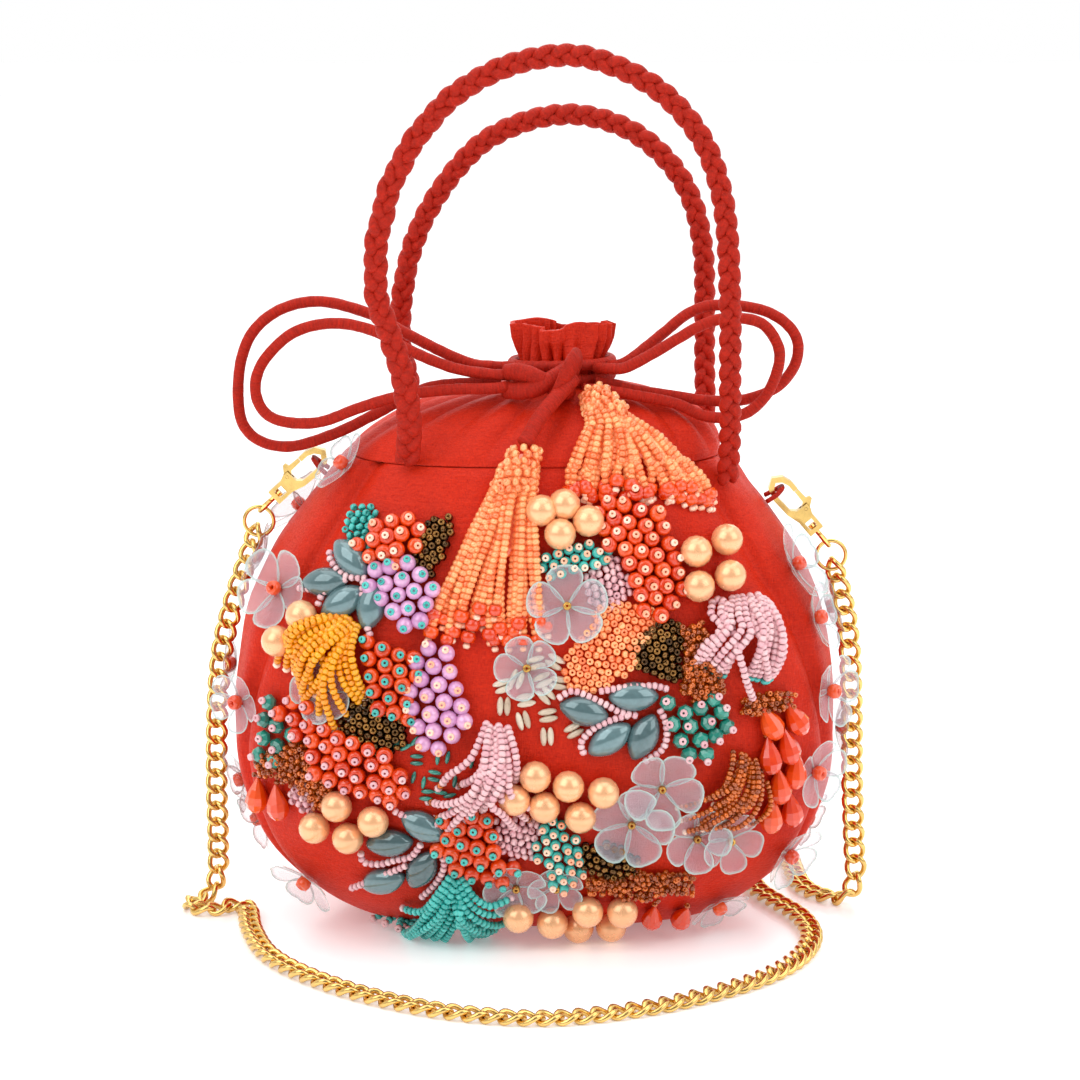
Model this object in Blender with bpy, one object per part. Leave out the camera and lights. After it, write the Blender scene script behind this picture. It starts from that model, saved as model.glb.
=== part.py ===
"""Beaded drawstring clutch bag: a stuffed pouch of raw silk drawn shut under a gathered neck.

Two braided handles, a knotted drawstring with two beaded tassels, clusters of beads and clear
flowers sewn to the cloth, and a curb chain held by two trigger clasps. Metres, +Z up, the
front is towards -Y, and the origin is the middle of the flat spot that the bag stands on.
"""

import math

import bmesh
import bpy
from mathutils import Matrix, Vector

MM = 0.001

# Fits between neighbours
SEAT = 0.3 * MM
LAID = 0.55 * MM
RUNNING = 0.1 * MM

# Pouch: height of each level with its half width and half depth
POUCH_LEVELS = (
    (0.0, 46.0, 22.0),
    (4.0, 57.0, 32.0),
    (13.0, 70.0, 42.0),
    (26.0, 81.5, 48.0),
    (44.0, 88.5, 51.0),
    (62.0, 90.5, 52.0),
    (81.0, 89.0, 50.0),
    (98.0, 85.0, 46.5),
    (112.0, 78.0, 43.0),
    (125.0, 69.0, 39.0),
    (134.0, 62.0, 36.0),
    (142.0, 55.8, 33.3),
)
HULL_REACH = 120.0 * MM
POUCH_SQUARENESS = 2.7
POUCH_SIDES = 38

# Gathered yoke: height above the seam, half width, half depth and how far its middle leans right
SEAM_Z = 142.0 * MM
YOKE_LEVELS = (
    (0.0, 55.8, 33.3, 0.0),
    (6.0, 51.5, 30.5, 2.5),
    (12.0, 44.0, 26.0, 5.0),
    (16.5, 33.0, 20.0, 6.5),
    (19.0, 22.0, 14.5, 7.5),
)
NECK_HALF_WIDTH = 12.5 * MM
NECK_HALF_DEPTH = 9.0 * MM
NECK_LEAN = 8.0 * MM
NECK_Z = 163.0 * MM
NECK_HEIGHT = 6.0 * MM
RUFFLE_HEIGHT = 10.5 * MM
RUFFLE_HALF_WIDTH = 15.5 * MM
RUFFLE_HALF_DEPTH = 9.0 * MM
CLOTH_THICKNESS = 1.6 * MM
PLEATS = 13
PLEAT_DEPTH = 1.9 * MM
NECK_SQUARENESS = 2.4

# Braided handles
BRAID_WIDTH = 7.4 * MM
BRAID_PITCH = 10.0 * MM
BRAID_SIDES = 5
BRAID_DEPTH = 0.82
BRAID_REST = 0.26
FRONT_HANDLE_ROUTE = (
    (-36, -36, 156), (-37, -37, 166), (-40, -37, 178), (-44.6, -36, 191), (-45, -36, 206),
    (-41, -36, 223), (-33.7, -36, 237), (-22.4, -36, 249.5), (-7, -36, 257.8), (9.9, -36, 260.6),
    (24, -36, 257), (36.6, -36, 249.5), (46.6, -36, 238), (52, -36, 225), (54.5, -36, 211),
    (55.6, -36, 191), (56, -34, 168), (56.5, -28, 151),
)
FRONT_FEET = ((-36.0, 143.0), (55.0, 136.0))
BACK_HANDLE_ROUTE = (
    (-39, 36, 156), (-41, 37, 164), (-41.5, 37, 172), (-40.4, 36, 185), (-36.7, 36, 200),
    (-28.9, 36, 215), (-16.7, 36, 229), (-1.5, 36, 236.4), (13.6, 36, 238), (28.8, 36, 233.4),
    (40.4, 36, 224), (47.8, 36, 212), (51.3, 36, 197), (52, 36, 181.5), (52, 34, 165),
    (52, 29, 151),
)
BACK_FEET = ((-38.0, 143.0), (51.0, 137.0))

# Drawstring
STRING_DIAMETER = 3.4 * MM
STRING_STEP = 3.0
STRING_SMOOTHNESS = 2
BOW_ROUTES = {
    "bow_loop_left_outer": (
        (-6.05, -8.3, 168), (-12, -12, 168.6), (-21, -11, 170), (-38, -9, 178), (-47, -8, 183),
        (-62, -7, 187), (-74, -7, 185), (-83, -8, 178), (-87, -8, 167), (-87, -8, 153),
        (-82, -8, 146), (-72, -8, 144), (-59, -9, 148), (-47, -10, 154), (-32, -12, 162),
        (-17, -14, 164), (-10, -13.4, 164),
    ),
    "bow_loop_left_inner": (
        (-8.5, -17.2, 166.9), (-13, -17.6, 167.2), (-24, -17, 169), (-37, -15, 174), (-46, -14, 179),
        (-58, -13, 181.5), (-70, -13, 179), (-79, -13, 171), (-82, -13, 163), (-80, -13.5, 156),
        (-74, -14, 152.5), (-63, -15, 152.5), (-51, -16, 157), (-38, -18, 161), (-24, -20, 163),
        (-13, -20.4, 163.3), (-8.3, -19.4, 163.7),
    ),
    "bow_loop_right_outer": (
        (21.95, -8.3, 168), (26.5, -10.8, 169.5), (33, -9, 174), (38, -8, 178), (46, -7, 184),
        (55, -7, 186), (68, -7, 184), (76, -8, 178), (77, -8, 170), (72, -8.5, 162.5),
        (63, -9, 158.5), (52, -10, 158), (40, -12, 160), (29, -14, 162), (25, -13.2, 163),
    ),
    "bow_loop_right_inner": (
        (18.1, -11.75, 168), (21.6, -15.6, 168.5), (26, -16.5, 168.8), (33, -15, 172), (40, -14, 176),
        (49, -13, 181), (57, -13, 183), (66, -13, 181.5), (71, -13.5, 175), (71, -14, 168),
        (67, -14.5, 159.5), (60, -15, 154.5), (50, -16, 154.5), (41, -17, 158.5), (30, -19, 161),
    ),
}
WRAP_TURNS = 2
WRAP_SIDES = 24
KNOT_CENTRE = (1.5, -18.0, 165.5)
KNOT_SIZE = (10.3, 4.2, 5.5)
TAIL_ROUTE = ((0.5, -20, 163), (-1, -26.5, 159.5), (-2.5, -32.5, 155), (-3, -36.6, 149.9))

# Beaded tassels: middle of each row as (x, angle up from level at the hull's eye), half width, thickness
HULL_EYE_Z = 110.0 * MM
LEFT_TASSEL = (
    (-3.0, 49, 4.0, 8.0),
    (-5.0, 42, 5.4, 9.0),
    (-7.5, 32, 7.2, 8.0),
    (-10.0, 20, 8.8, 7.0),
    (-12.2, 7, 10.2, 6.0),
    (-14.2, -6, 13.6, 5.5),
    (-14.6, -13, 14.6, 4.0),
)
RIGHT_TASSEL = (
    (17.5, 69, 4.0, 7.5),
    (20.5, 63, 6.0, 8.5),
    (25.0, 57, 9.5, 7.5),
    (28.0, 50, 15.0, 6.5),
    (29.5, 43, 20.0, 5.5),
    (30.0, 37, 22.0, 4.5),
)
TASSEL_COLUMNS = 9
TASSEL_FLUTE = 1.2 * MM

# Chain
CHAIN_PITCH = 5.2 * MM
CHAIN_WIRE = 1.7 * MM
CHAIN_WIDTH = 7.0 * MM
CHAIN_END_TWIST = math.radians(45)
CHAIN_TURNING = 20.0 * MM
CHAIN_FLAT_BELOW = 6.0 * MM
CHAIN_ROUTE = (
    (-86.5, 0, 108), (-90.5, 0, 96), (-94.5, 0, 80), (-96.3, 0, 62),
    (-97, 0, 39), (-97, 1, 20), (-97.5, 2, 9), (-100, 1, 3.0), (-104, -3, 1.8),
    (-103.5, -9, 1.8), (-98, -11, 1.8), (-92, -7.5, 1.8), (-87.5, -11, 1.8), (-84.5, -30, 1.8),
    (-78, -52, 1.8), (-66, -70, 1.8), (-48, -87, 1.8), (-24, -101, 1.8), (3, -106.3, 1.8),
    (29, -99, 1.8), (49, -87, 1.8), (66, -72, 1.8), (77, -55, 1.8), (82, -36, 1.8),
    (80, -18, 1.8), (74, -4, 1.8), (69, 8, 1.8), (67, 22, 1.8), (67, 35, 1.8),
    (73, 43, 1.8), (80.5, 38, 1.8), (81.5, 25, 1.8), (83, 12, 1.8), (88, 3, 1.8),
    (95.0, -1.5, 3.0), (98.0, -1, 9), (97.5, 0, 20), (96.6, 0, 40), (96.0, 0, 64),
    (94.8, 0, 83), (92.4, 0, 97),
)

# Trigger clasps, each in its own plane with +Z towards the top of the hook
CLASP_THICKNESS = 3.4 * MM
LEVER_THICKNESS = 1.4 * MM
HOOK_OUTLINE = (
    (-2.4, 0), (2.4, 0), (2.4, 5.2), (3.1, 6.6), (3.1, 8.6), (-0.6, 8.6), (-2.0, 10), (-2.3, 15.3),
    (-1.6, 18.2), (0, 19.4), (1.6, 18.2), (2.4, 16.2), (2.4, 13.8), (3.9, 13.8), (3.9, 16.5),
    (2.9, 19.5), (0, 21.3), (-2.9, 19.3), (-3.9, 15.5), (-3.6, 9.5), (-2.4, 5.5),
)
LEVER_OUTLINE = (
    (1.1, 6.8), (1.9, 6.35), (2.8, 6.7), (3.9, 7.6), (5.2, 8.6), (5.2, 9.6), (4.0, 9.9),
    (3.8, 13.3), (2.5, 13.3), (2.4, 9.4), (1.0, 8.4),
)
LEVER_PIVOT = (1.9, 7.4)
PIN_RADIUS = 0.45 * MM
SLOT = (0.4, 6.0, 4.2, 9.4)
WINDOW = (-1.3, 1.4, 1.3, 4.2)
SHANK_RADIUS = 0.75 * MM
HEAD_RADIUS = 1.15 * MM
HEAD_HEIGHT = 0.9 * MM
EYE_CENTRE_Z = -3.8 * MM
EYE_RADIUS = 2.4 * MM
EYE_WIRE = 1.3 * MM
RING_RADIUS = 4.4 * MM
RING_WIRE = 1.2 * MM
RING_SIDES = 14
RING_CONTACT_Z = -4.5 * MM
CLASPS = {
    "left": {"side": -1, "contact": (-81.3, 124.0), "slant": 47.0, "ring_to": (-1.4, -4.2)},
    "right": {"side": 1, "contact": (87.3, 113.5), "slant": -40.3, "ring_to": (1.6, -4.1)},
}
TAB_CROWN_Z = 16.9 * MM
TAB_SPAN = 5.0 * MM
TAB_WIDTH = 2.4 * MM
TAB_THICKNESS = 1.4 * MM

# Bead clusters on the front: x, z, half width, half height, how far they stand off, finish
CLUSTERS = {
    "turquoise_seed_cluster": (-50.0, 124.4, 4.6, 7.0, 4.5, "turquoise"),
    "coral_barrel_cluster": (-39.5, 122.0, 5.2, 7.0, 5.5, "coral"),
    "bronze_cluster_upper": (-28.6, 120.5, 3.9, 8.0, 4.5, "bronze"),
    "lilac_cluster_upper": (-37.0, 106.0, 6.6, 7.0, 5.0, "lilac"),
    "coral_cluster_left": (-41.4, 84.5, 6.4, 11.0, 5.0, "coral"),
    "lilac_cluster_middle": (-26.4, 80.0, 7.4, 13.5, 5.0, "lilac"),
    "teal_cluster_left": (-75.0, 65.0, 5.5, 10.0, 4.5, "teal"),
    "bronze_cluster_left": (-43.0, 66.5, 5.8, 5.3, 4.0, "bronze"),
    "coral_cluster_lower": (-54.0, 56.4, 7.6, 5.4, 5.0, "coral"),
    "amber_cluster_left": (-67.0, 54.5, 4.4, 6.8, 4.0, "amber"),
    "coral_drops_left": (-77.0, 43.2, 4.6, 6.5, 5.0, "coral"),
    "teal_rice_cluster": (-31.7, 56.0, 7.8, 8.3, 3.5, "teal"),
    "coral_cluster_bottom": (-17.0, 30.3, 7.6, 7.0, 5.0, "coral"),
    "pink_seed_cluster": (-2.2, 35.0, 5.0, 5.2, 4.0, "pink"),
    "turquoise_cluster_lower": (10.0, 31.0, 5.2, 7.5, 4.5, "turquoise"),
    "bronze_cluster_lower": (21.5, 32.3, 5.6, 3.4, 4.0, "bronze"),
    "amber_row": (31.5, 24.6, 11.5, 2.6, 4.0, "amber"),
    "teal_cluster_right": (46.5, 69.3, 7.8, 7.4, 5.0, "teal"),
    "coral_drops_right": (71.5, 58.0, 5.4, 9.0, 5.0, "coral"),
    "peach_crystal_cluster": (20.0, 91.0, 9.2, 8.6, 4.5, "peach"),
    "bronze_cluster_right": (35.5, 92.0, 5.0, 8.6, 4.5, "bronze"),
    "amber_cluster_right": (46.7, 88.3, 4.6, 8.8, 4.5, "amber"),
    "coral_cluster_right": (32.0, 116.0, 7.4, 11.5, 5.5, "coral"),
    "turquoise_cluster_upper": (8.5, 115.2, 6.4, 5.2, 4.5, "turquoise"),
    "lilac_seed_cluster": (18.4, 108.2, 4.6, 6.6, 4.0, "lilac"),
}
CLUSTER_LUMPS = 6

# Small bead tassels on the front: top, lower left and lower right corner as x, z
SPRAYS = {
    "yellow_tassel": ((-58.0, 94.5), (-65.5, 69.0), (-51.5, 69.0), "yellow"),
    "pink_tassel": ((-11.0, 70.0), (-26.5, 42.5), (-12.0, 40.5), "pink"),
    "turquoise_tassel": ((-24.0, 20.5), (-40.0, 9.5), (-12.0, 8.5), "turquoise"),
    "amber_tassel": ((57.5, 60.0), (48.5, 45.0), (62.0, 39.5), "amber"),
    "pink_turquoise_tassel": ((58.0, 103.0), (53.0, 80.0), (69.5, 79.0), "pink"),
}
SPRAY_TOP_WIDTH = 3.5 * MM
SPRAY_THICKNESS = 3.6 * MM
SPRAY_ROWS = 4
SPRAY_COLUMNS = 5

# Pearls, stones and flowers are past the number of pieces kept apart, so they join the pouch
PEARL_RADIUS = 5.0 * MM
PEARLS = (
    (-66.2, 99.2), (-72.3, 90.8), (-56.1, 45.9), (-62.3, 38.6), (-53.1, 36.2), (-45.9, 42.8),
    (-3.5, 17.0), (5.6, 17.5), (15.3, 16.8), (25.0, 16.5), (10.5, 9.5), (20.5, 9.5),
    (0.5, 56.6), (9.8, 53.2), (19.5, 52.0), (2.9, 47.7), (12.5, 44.6), (-5.9, 49.6),
    (45.7, 117.9), (53.7, 120.0), (46.5, 108.5), (55.1, 110.7),
    (16.8, 127.3), (8.4, 124.3), (9.5, 131.0),
)
STONE_LENGTH = 9.0 * MM
STONE_WIDTH = 7.0 * MM
STONE_HEIGHT = 3.0 * MM
STONES = (
    (-55.5, 113.0), (-62.0, 107.5), (-56.0, 101.8), (-47.8, 102.2),
    (-33.8, 40.6), (-41.9, 33.6), (-44.0, 21.5), (-33.0, 28.2),
    (14.2, 75.0), (28.3, 77.5), (21.9, 66.5), (31.0, 67.5),
)
PETALS = 5
FRONT_FLOWERS = (
    (-3.0, 85.0, 8.0), (6.5, 101.5, 5.6), (37.0, 51.5, 8.0), (29.0, 43.6, 6.8),
    (50.5, 31.0, 6.8), (-2.0, 25.0, 4.5),
)
SIDE_FLOWERS = (
    (-1, -14, 127, 9), (-1, -25, 105, 9), (-1, -13, 84, 9), (-1, -10, 54, 9), (-1, -12, 29, 8),
    (-1, -28, 19, 7), (1, -20, 110, 9), (1, -18, 93, 9), (1, -10, 74, 8), (1, -25, 70, 8),
    (1, -19, 46, 9), (1, -20, 23, 8),
)
FLOWER_HEIGHT = 2.6 * MM
PETAL_ROOT = 2.2 * MM


def material(name, colour, roughness, metallic=0.0):
    """A plain Principled finish."""
    made = bpy.data.materials.new(name)
    made.use_nodes = True
    shader = made.node_tree.nodes["Principled BSDF"]
    shader.inputs["Base Color"].default_value = (*colour, 1.0)
    shader.inputs["Roughness"].default_value = roughness
    shader.inputs["Metallic"].default_value = metallic
    return made


def finishes():
    """Every finish by its plain name."""
    return {
        "silk": material("red raw silk", (0.61, 0.026, 0.013), 0.6),
        "cord": material("brick silk cord", (0.51, 0.031, 0.018), 0.65),
        "gold": material("polished gold metal", (0.83, 0.56, 0.17), 0.18, 1.0),
        "turquoise": material("turquoise beads", (0.045, 0.48, 0.43), 0.3),
        "coral": material("coral beads", (0.83, 0.08, 0.02), 0.25),
        "bronze": material("bronze beads", (0.1, 0.045, 0.01), 0.25, 0.4),
        "lilac": material("lilac pearls", (0.68, 0.38, 0.6), 0.25),
        "teal": material("teal beads", (0.013, 0.26, 0.21), 0.2),
        "amber": material("amber beads", (0.46, 0.09, 0.005), 0.2),
        "peach": material("peach beads", (0.87, 0.35, 0.16), 0.2),
        "pink": material("pink beads", (0.91, 0.58, 0.6), 0.3),
        "yellow": material("yellow orange beads", (1.0, 0.35, 0.0), 0.3),
        "pearl": material("champagne pearls", (0.87, 0.51, 0.22), 0.2),
        "glass": material("grey blue glass", (0.16, 0.3, 0.33), 0.1),
        "petal": material("clear pink petals", (0.85, 0.5, 0.56), 0.15),
    }


def levels():
    """Every level of the hull from the base to the neck as height, half sizes and lean."""
    pouch = [(z, a, b, 0.0) for z, a, b in POUCH_LEVELS]
    yoke = [(SEAM_Z / MM + h, a, b, lean) for h, a, b, lean in YOKE_LEVELS[1:]]
    return [tuple(value * MM for value in level) for level in pouch + yoke]


def section(z):
    """Half width, half depth and lean of the hull at a height."""
    known = levels()
    if z <= known[0][0]:
        return known[0][1:]
    for low, high in zip(known, known[1:]):
        if z <= high[0]:
            part = (z - low[0]) / (high[0] - low[0])
            return tuple(u + (v - u) * part for u, v in zip(low[1:], high[1:]))
    return known[-1][1:]


def excess(point):
    """Below 0 inside the hull, 0 on it and above 0 outside."""
    if point.z > levels()[-1][0]:
        return 1.0
    a, b, lean = section(point.z)
    across = abs((point.x - lean) / a) ** POUCH_SQUARENESS
    return across + abs(point.y / b) ** POUCH_SQUARENESS - 1.0


def on_hull(start, direction):
    """Where a line from inside the hull comes out."""
    near, far = 0.0, HULL_REACH
    for _ in range(40):
        middle = (near + far) / 2
        if excess(start + direction * middle) < 0:
            near = middle
        else:
            far = middle
    return start + direction * near


def outward(point):
    """The direction straight out of the hull, never steeply down, so that beads clear the floor."""
    step = 0.5 * MM
    slope = Vector(
        excess(point + axis * step) - excess(point - axis * step)
        for axis in (Vector((1, 0, 0)), Vector((0, 1, 0)), Vector((0, 0, 1)))
    )
    normal = slope.normalized()
    if normal.z < 0:
        normal.z *= 0.3
    return normal.normalized()


def on_front(x, z, way=-1):
    """The hull point straight in front of a place, or behind it where the way is +1."""
    return on_hull(Vector((x, 0, z)) * MM, Vector((0, way, 0)))


def on_side(side, y, z):
    """The gusset point on the left (-1) or the right (+1)."""
    return on_hull(Vector((0, y, z)) * MM, Vector((side, 0, 0)))


def laid(point, tangent_a, tangent_b, normal):
    """The hull point found by looking straight in at a place beside another one."""
    start = point + tangent_a + tangent_b - normal * 12 * MM
    return on_hull(start, normal)


def finished(name, mesh_builder, finish, smooth=False):
    """Turns a bmesh into a named object with its finish."""
    bmesh.ops.remove_doubles(mesh_builder, verts=mesh_builder.verts, dist=0.001 * MM)
    bmesh.ops.recalc_face_normals(mesh_builder, faces=mesh_builder.faces)
    mesh = bpy.data.meshes.new(name)
    mesh_builder.to_mesh(mesh)
    mesh_builder.free()
    mesh.materials.append(finish)
    if smooth:
        mesh.shade_smooth()
        mesh.set_sharp_from_angle(angle=math.radians(50))
    made = bpy.data.objects.new(name, mesh)
    bpy.context.scene.collection.objects.link(made)
    return made


def loft(builder, rings, closed=True):
    """Skins rings of as many points each; the end rings are closed by fans."""
    rows = [[builder.verts.new(point) for point in ring] for ring in rings]
    for low, high in zip(rows, rows[1:]):
        for i in range(len(low)):
            j = (i + 1) % len(low)
            builder.faces.new((low[i], low[j], high[j], high[i]))
    for row in (rows[0], rows[-1]) if closed else ():
        middle = builder.verts.new(sum((v.co for v in row), Vector()) / len(row))
        for i in range(len(row)):
            builder.faces.new((row[i], row[(i + 1) % len(row)], middle))


def smooth_route(points, step, group=1):
    """Even points along a smooth curve through a route, in metres, in whole groups of steps."""
    known = [Vector(point) * MM for point in points]
    padded = [known[0] * 2 - known[1], *known, known[-1] * 2 - known[-2]]
    fine = []
    for a, b, c, d in zip(padded, padded[1:], padded[2:], padded[3:]):
        for i in range(12):
            t = i / 12
            bend = b * 2 + (c - a) * t + (a * 2 - b * 5 + c * 4 - d) * t**2
            fine.append((bend + (b * 3 - a - c * 3 + d) * t**3) / 2)
    fine.append(known[-1])
    along = [0.0]
    for a, b in zip(fine, fine[1:]):
        along.append(along[-1] + (b - a).length)
    count = round(along[-1] / step / group) * group + 1
    spaced, at = [], 0
    for i in range(count):
        wanted = along[-1] * i / (count - 1)
        while at < len(along) - 2 and along[at + 1] < wanted:
            at += 1
        part = (wanted - along[at]) / max(along[at + 1] - along[at], 1e-9)
        spaced.append(fine[at].lerp(fine[at + 1], min(part, 1.0)))
    return spaced


def directions(points):
    """The direction of a row of points at each of them."""
    ends = [points[0] * 2 - points[1], *points, points[-1] * 2 - points[-2]]
    return [(after - before).normalized() for before, after in zip(ends, ends[2:])]


def turns(count):
    """Angles evenly round a circle."""
    return [math.tau * i / count for i in range(count)]


def oval(centre, a, b, sides, squareness=2.0):
    """A level ring round a centre."""
    ring = []
    for i in range(sides):
        turn = math.tau * (i + 0.5) / sides
        x = math.copysign(abs(math.cos(turn)) ** (2 / squareness), math.cos(turn)) * a
        y = math.copysign(abs(math.sin(turn)) ** (2 / squareness), math.sin(turn)) * b
        ring.append(centre + Vector((x, y, 0)))
    return ring


def pouch(finish):
    """The stuffed pouch: front and back panels and the gusset between them, as one soft body."""
    builder = bmesh.new()
    rings = [
        oval(Vector((0, 0, z * MM)), a * MM, b * MM, POUCH_SIDES, POUCH_SQUARENESS)
        for z, a, b in POUCH_LEVELS
    ]
    loft(builder, rings)
    return finished("pouch_body", builder, finish, smooth=True)


def pleated(centre, a, b, depth, squareness=NECK_SQUARENESS):
    """A ring with a groove for each pleat, cut inwards from its smooth outline."""
    ring = oval(centre, a, b, PLEATS * 4, squareness)
    cuts = (0.0, 0.45, 1.0, 0.45)
    return [
        point + (centre - point).normalized() * depth * cuts[i % 4] for i, point in enumerate(ring)
    ]


def yoke(finish):
    """The separate cloth above the seam, gathered to the neck, with its open ruffle on top."""
    builder = bmesh.new()
    rings = []
    top = YOKE_LEVELS[-1][0]
    for height, a, b, lean in YOKE_LEVELS:
        lift = SEAT if height == 0 else 0
        centre = Vector((lean * MM, 0, SEAM_Z + height * MM + lift))
        share = height / top
        squareness = POUCH_SQUARENESS + (NECK_SQUARENESS - POUCH_SQUARENESS) * share
        rings.append(pleated(centre, a * MM, b * MM, PLEAT_DEPTH * share, squareness))
    middle = Vector((NECK_LEAN, 0, NECK_Z))
    for rise in (0, NECK_HEIGHT):
        centre = middle + Vector((0, 0, rise))
        rings.append(pleated(centre, NECK_HALF_WIDTH, NECK_HALF_DEPTH, PLEAT_DEPTH * 0.6))
    brim = middle + Vector((0, 0, NECK_HEIGHT + RUFFLE_HEIGHT))
    rings.append(pleated(brim, RUFFLE_HALF_WIDTH, RUFFLE_HALF_DEPTH, PLEAT_DEPTH))
    inside_a = RUFFLE_HALF_WIDTH - CLOTH_THICKNESS
    inside_b = RUFFLE_HALF_DEPTH - CLOTH_THICKNESS
    rings.append(pleated(brim, inside_a, inside_b, PLEAT_DEPTH))
    floor = middle + Vector((0, 0, NECK_HEIGHT * 0.8))
    rings.append(pleated(floor, NECK_HALF_WIDTH * 0.5, NECK_HALF_DEPTH * 0.4, PLEAT_DEPTH * 0.3))
    loft(builder, rings)
    return finished("gathered_yoke", builder, finish, smooth=True)


def foot(x, z, way):
    """Where a handle's end is sewn down: a point on the cloth, lifted by half the braid."""
    point = on_front(x, z, way)
    return (point + outward(point) * (BRAID_WIDTH * BRAID_REST + SEAT)) / MM


def braided_handle(name, route, feet, way, finish):
    """A braid of three cords, with its lobes left and right by turns."""
    ends = [tuple(foot(x, z, way)) for x, z in feet]
    points = smooth_route([ends[0], *route, ends[1]], BRAID_PITCH / 2)
    builder = bmesh.new()
    rings = []
    for i, (point, along) in enumerate(zip(points, directions(points))):
        side = along.cross(Vector((0, 1, 0))).normalized()
        front = side.cross(along).normalized()
        ring = []
        for k in range(BRAID_SIDES):
            turn = math.tau * (k + 0.25) / BRAID_SIDES
            bulge = 1.0 if (math.cos(turn) > 0) == (i % 2 == 0) else 0.74
            width = BRAID_WIDTH / 2 * bulge
            ring.append(point + side * math.cos(turn) * width + front * math.sin(turn) * width * BRAID_DEPTH)
        rings.append(ring)
    loft(builder, rings)
    return finished(name, builder, finish, smooth=True)


def string(name, route, finish):
    """One loop of the bow, a sewn tube of cloth round its filling."""
    points = smooth_route(route, STRING_DIAMETER * STRING_STEP)
    curve = bpy.data.curves.new(name, "CURVE")
    curve.dimensions = "3D"
    curve.bevel_depth = STRING_DIAMETER / 2
    curve.bevel_resolution = STRING_SMOOTHNESS
    curve.use_fill_caps = True
    spline = curve.splines.new("POLY")
    spline.points.add(len(points) - 1)
    for knot, point in zip(spline.points, points):
        knot.co = (*point, 1.0)
    curve.materials.append(finish)
    made = bpy.data.objects.new(name, curve)
    bpy.context.scene.collection.objects.link(made)
    return made


def string_wrap(finish):
    """The drawstring's turns round the neck, which lie on each other."""
    builder = bmesh.new()
    radius = STRING_DIAMETER / 2
    middle = Vector((NECK_LEAN, 0, NECK_Z + radius * 2.05))
    reach = SEAT + radius
    path = oval(middle, NECK_HALF_WIDTH + reach, NECK_HALF_DEPTH + reach, WRAP_SIDES, NECK_SQUARENESS)
    profile = [(-1, -0.9), (0.1, -1.0), (1, -0.5), (0.55, 0), (1, 0.5), (0.1, 1.0), (-1, 0.9)]
    rows = []
    for i, point in enumerate(path):
        turn = math.tau * (i + 0.5) / WRAP_SIDES
        away = Vector((math.cos(turn), math.sin(turn), 0))
        rows.append([
            builder.verts.new(point + away * radius * u + Vector((0, 0, radius * v * WRAP_TURNS)))
            for u, v in profile
        ])
    for low, high in zip(rows, rows[1:] + rows[:1]):
        for i in range(len(profile)):
            j = (i + 1) % len(profile)
            builder.faces.new((low[i], low[j], high[j], high[i]))
    return finished("drawstring_wrap", builder, finish, smooth=True)


def knot(finish):
    """The bow's knot at the front of the neck, with the short end that carries the left tassel."""
    builder = bmesh.new()
    bmesh.ops.create_icosphere(builder, subdivisions=2, radius=1)
    for vert in builder.verts:
        wave = 1 + 0.12 * math.sin(vert.co.x * 7 + vert.co.z * 4)
        size = Vector(part * wave for part in vert.co)
        vert.co = Vector(c * MM + s * k * MM for c, s, k in zip(KNOT_CENTRE, size, KNOT_SIZE))
    made = finished("drawstring_knot", builder, finish, smooth=True)
    tail = string("knot_tail", TAIL_ROUTE, finish)
    mesh = bpy.data.meshes.new_from_object(tail)
    bpy.data.objects.remove(tail)
    cutter = bpy.data.objects.new("knot_tail_solid", mesh)
    bpy.context.scene.collection.objects.link(cutter)
    weld = cutter.modifiers.new("close the caps", "WELD")
    weld.merge_threshold = 0.01 * MM
    join(made, cutter)
    return made


def helper(made):
    made.hide_render = True
    made.display_type = "WIRE"


def join(target, other):
    """Fuses another solid into the target."""
    helper(other)
    union = target.modifiers.new("fused " + other.name, "BOOLEAN")
    union.operation = "UNION"
    union.object = other


def cut(target, other):
    """Cuts another solid out of the target."""
    helper(other)
    difference = target.modifiers.new("cut " + other.name, "BOOLEAN")
    difference.operation = "DIFFERENCE"
    difference.object = other


def laid_piece(name, rows, heights, finish, lift=LAID):
    """A soft piece that follows the hull: rows of hull points, with the piece's height at each."""
    builder = bmesh.new()
    under = [[builder.verts.new(p + outward(p) * lift) for p in row] for row in rows]
    over = [
        [builder.verts.new(p + outward(p) * (lift + h)) for p, h in zip(row, tall)]
        for row, tall in zip(rows, heights)
    ]
    for sheet in (under, over):
        for low, high in zip(sheet, sheet[1:]):
            for i in range(len(low) - 1):
                builder.faces.new((low[i], low[i + 1], high[i + 1], high[i]))
    rim = [(0, i) for i in range(len(rows[0]))] + [(j, len(rows[0]) - 1) for j in range(1, len(rows))]
    rim += [(len(rows) - 1, i) for i in range(len(rows[0]) - 2, -1, -1)]
    rim += [(j, 0) for j in range(len(rows) - 2, 0, -1)]
    for (j, i), (n, m) in zip(rim, rim[1:] + rim[:1]):
        builder.faces.new((under[j][i], under[n][m], over[n][m], over[j][i]))
    return finished(name, builder, finish, smooth=False)


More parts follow.
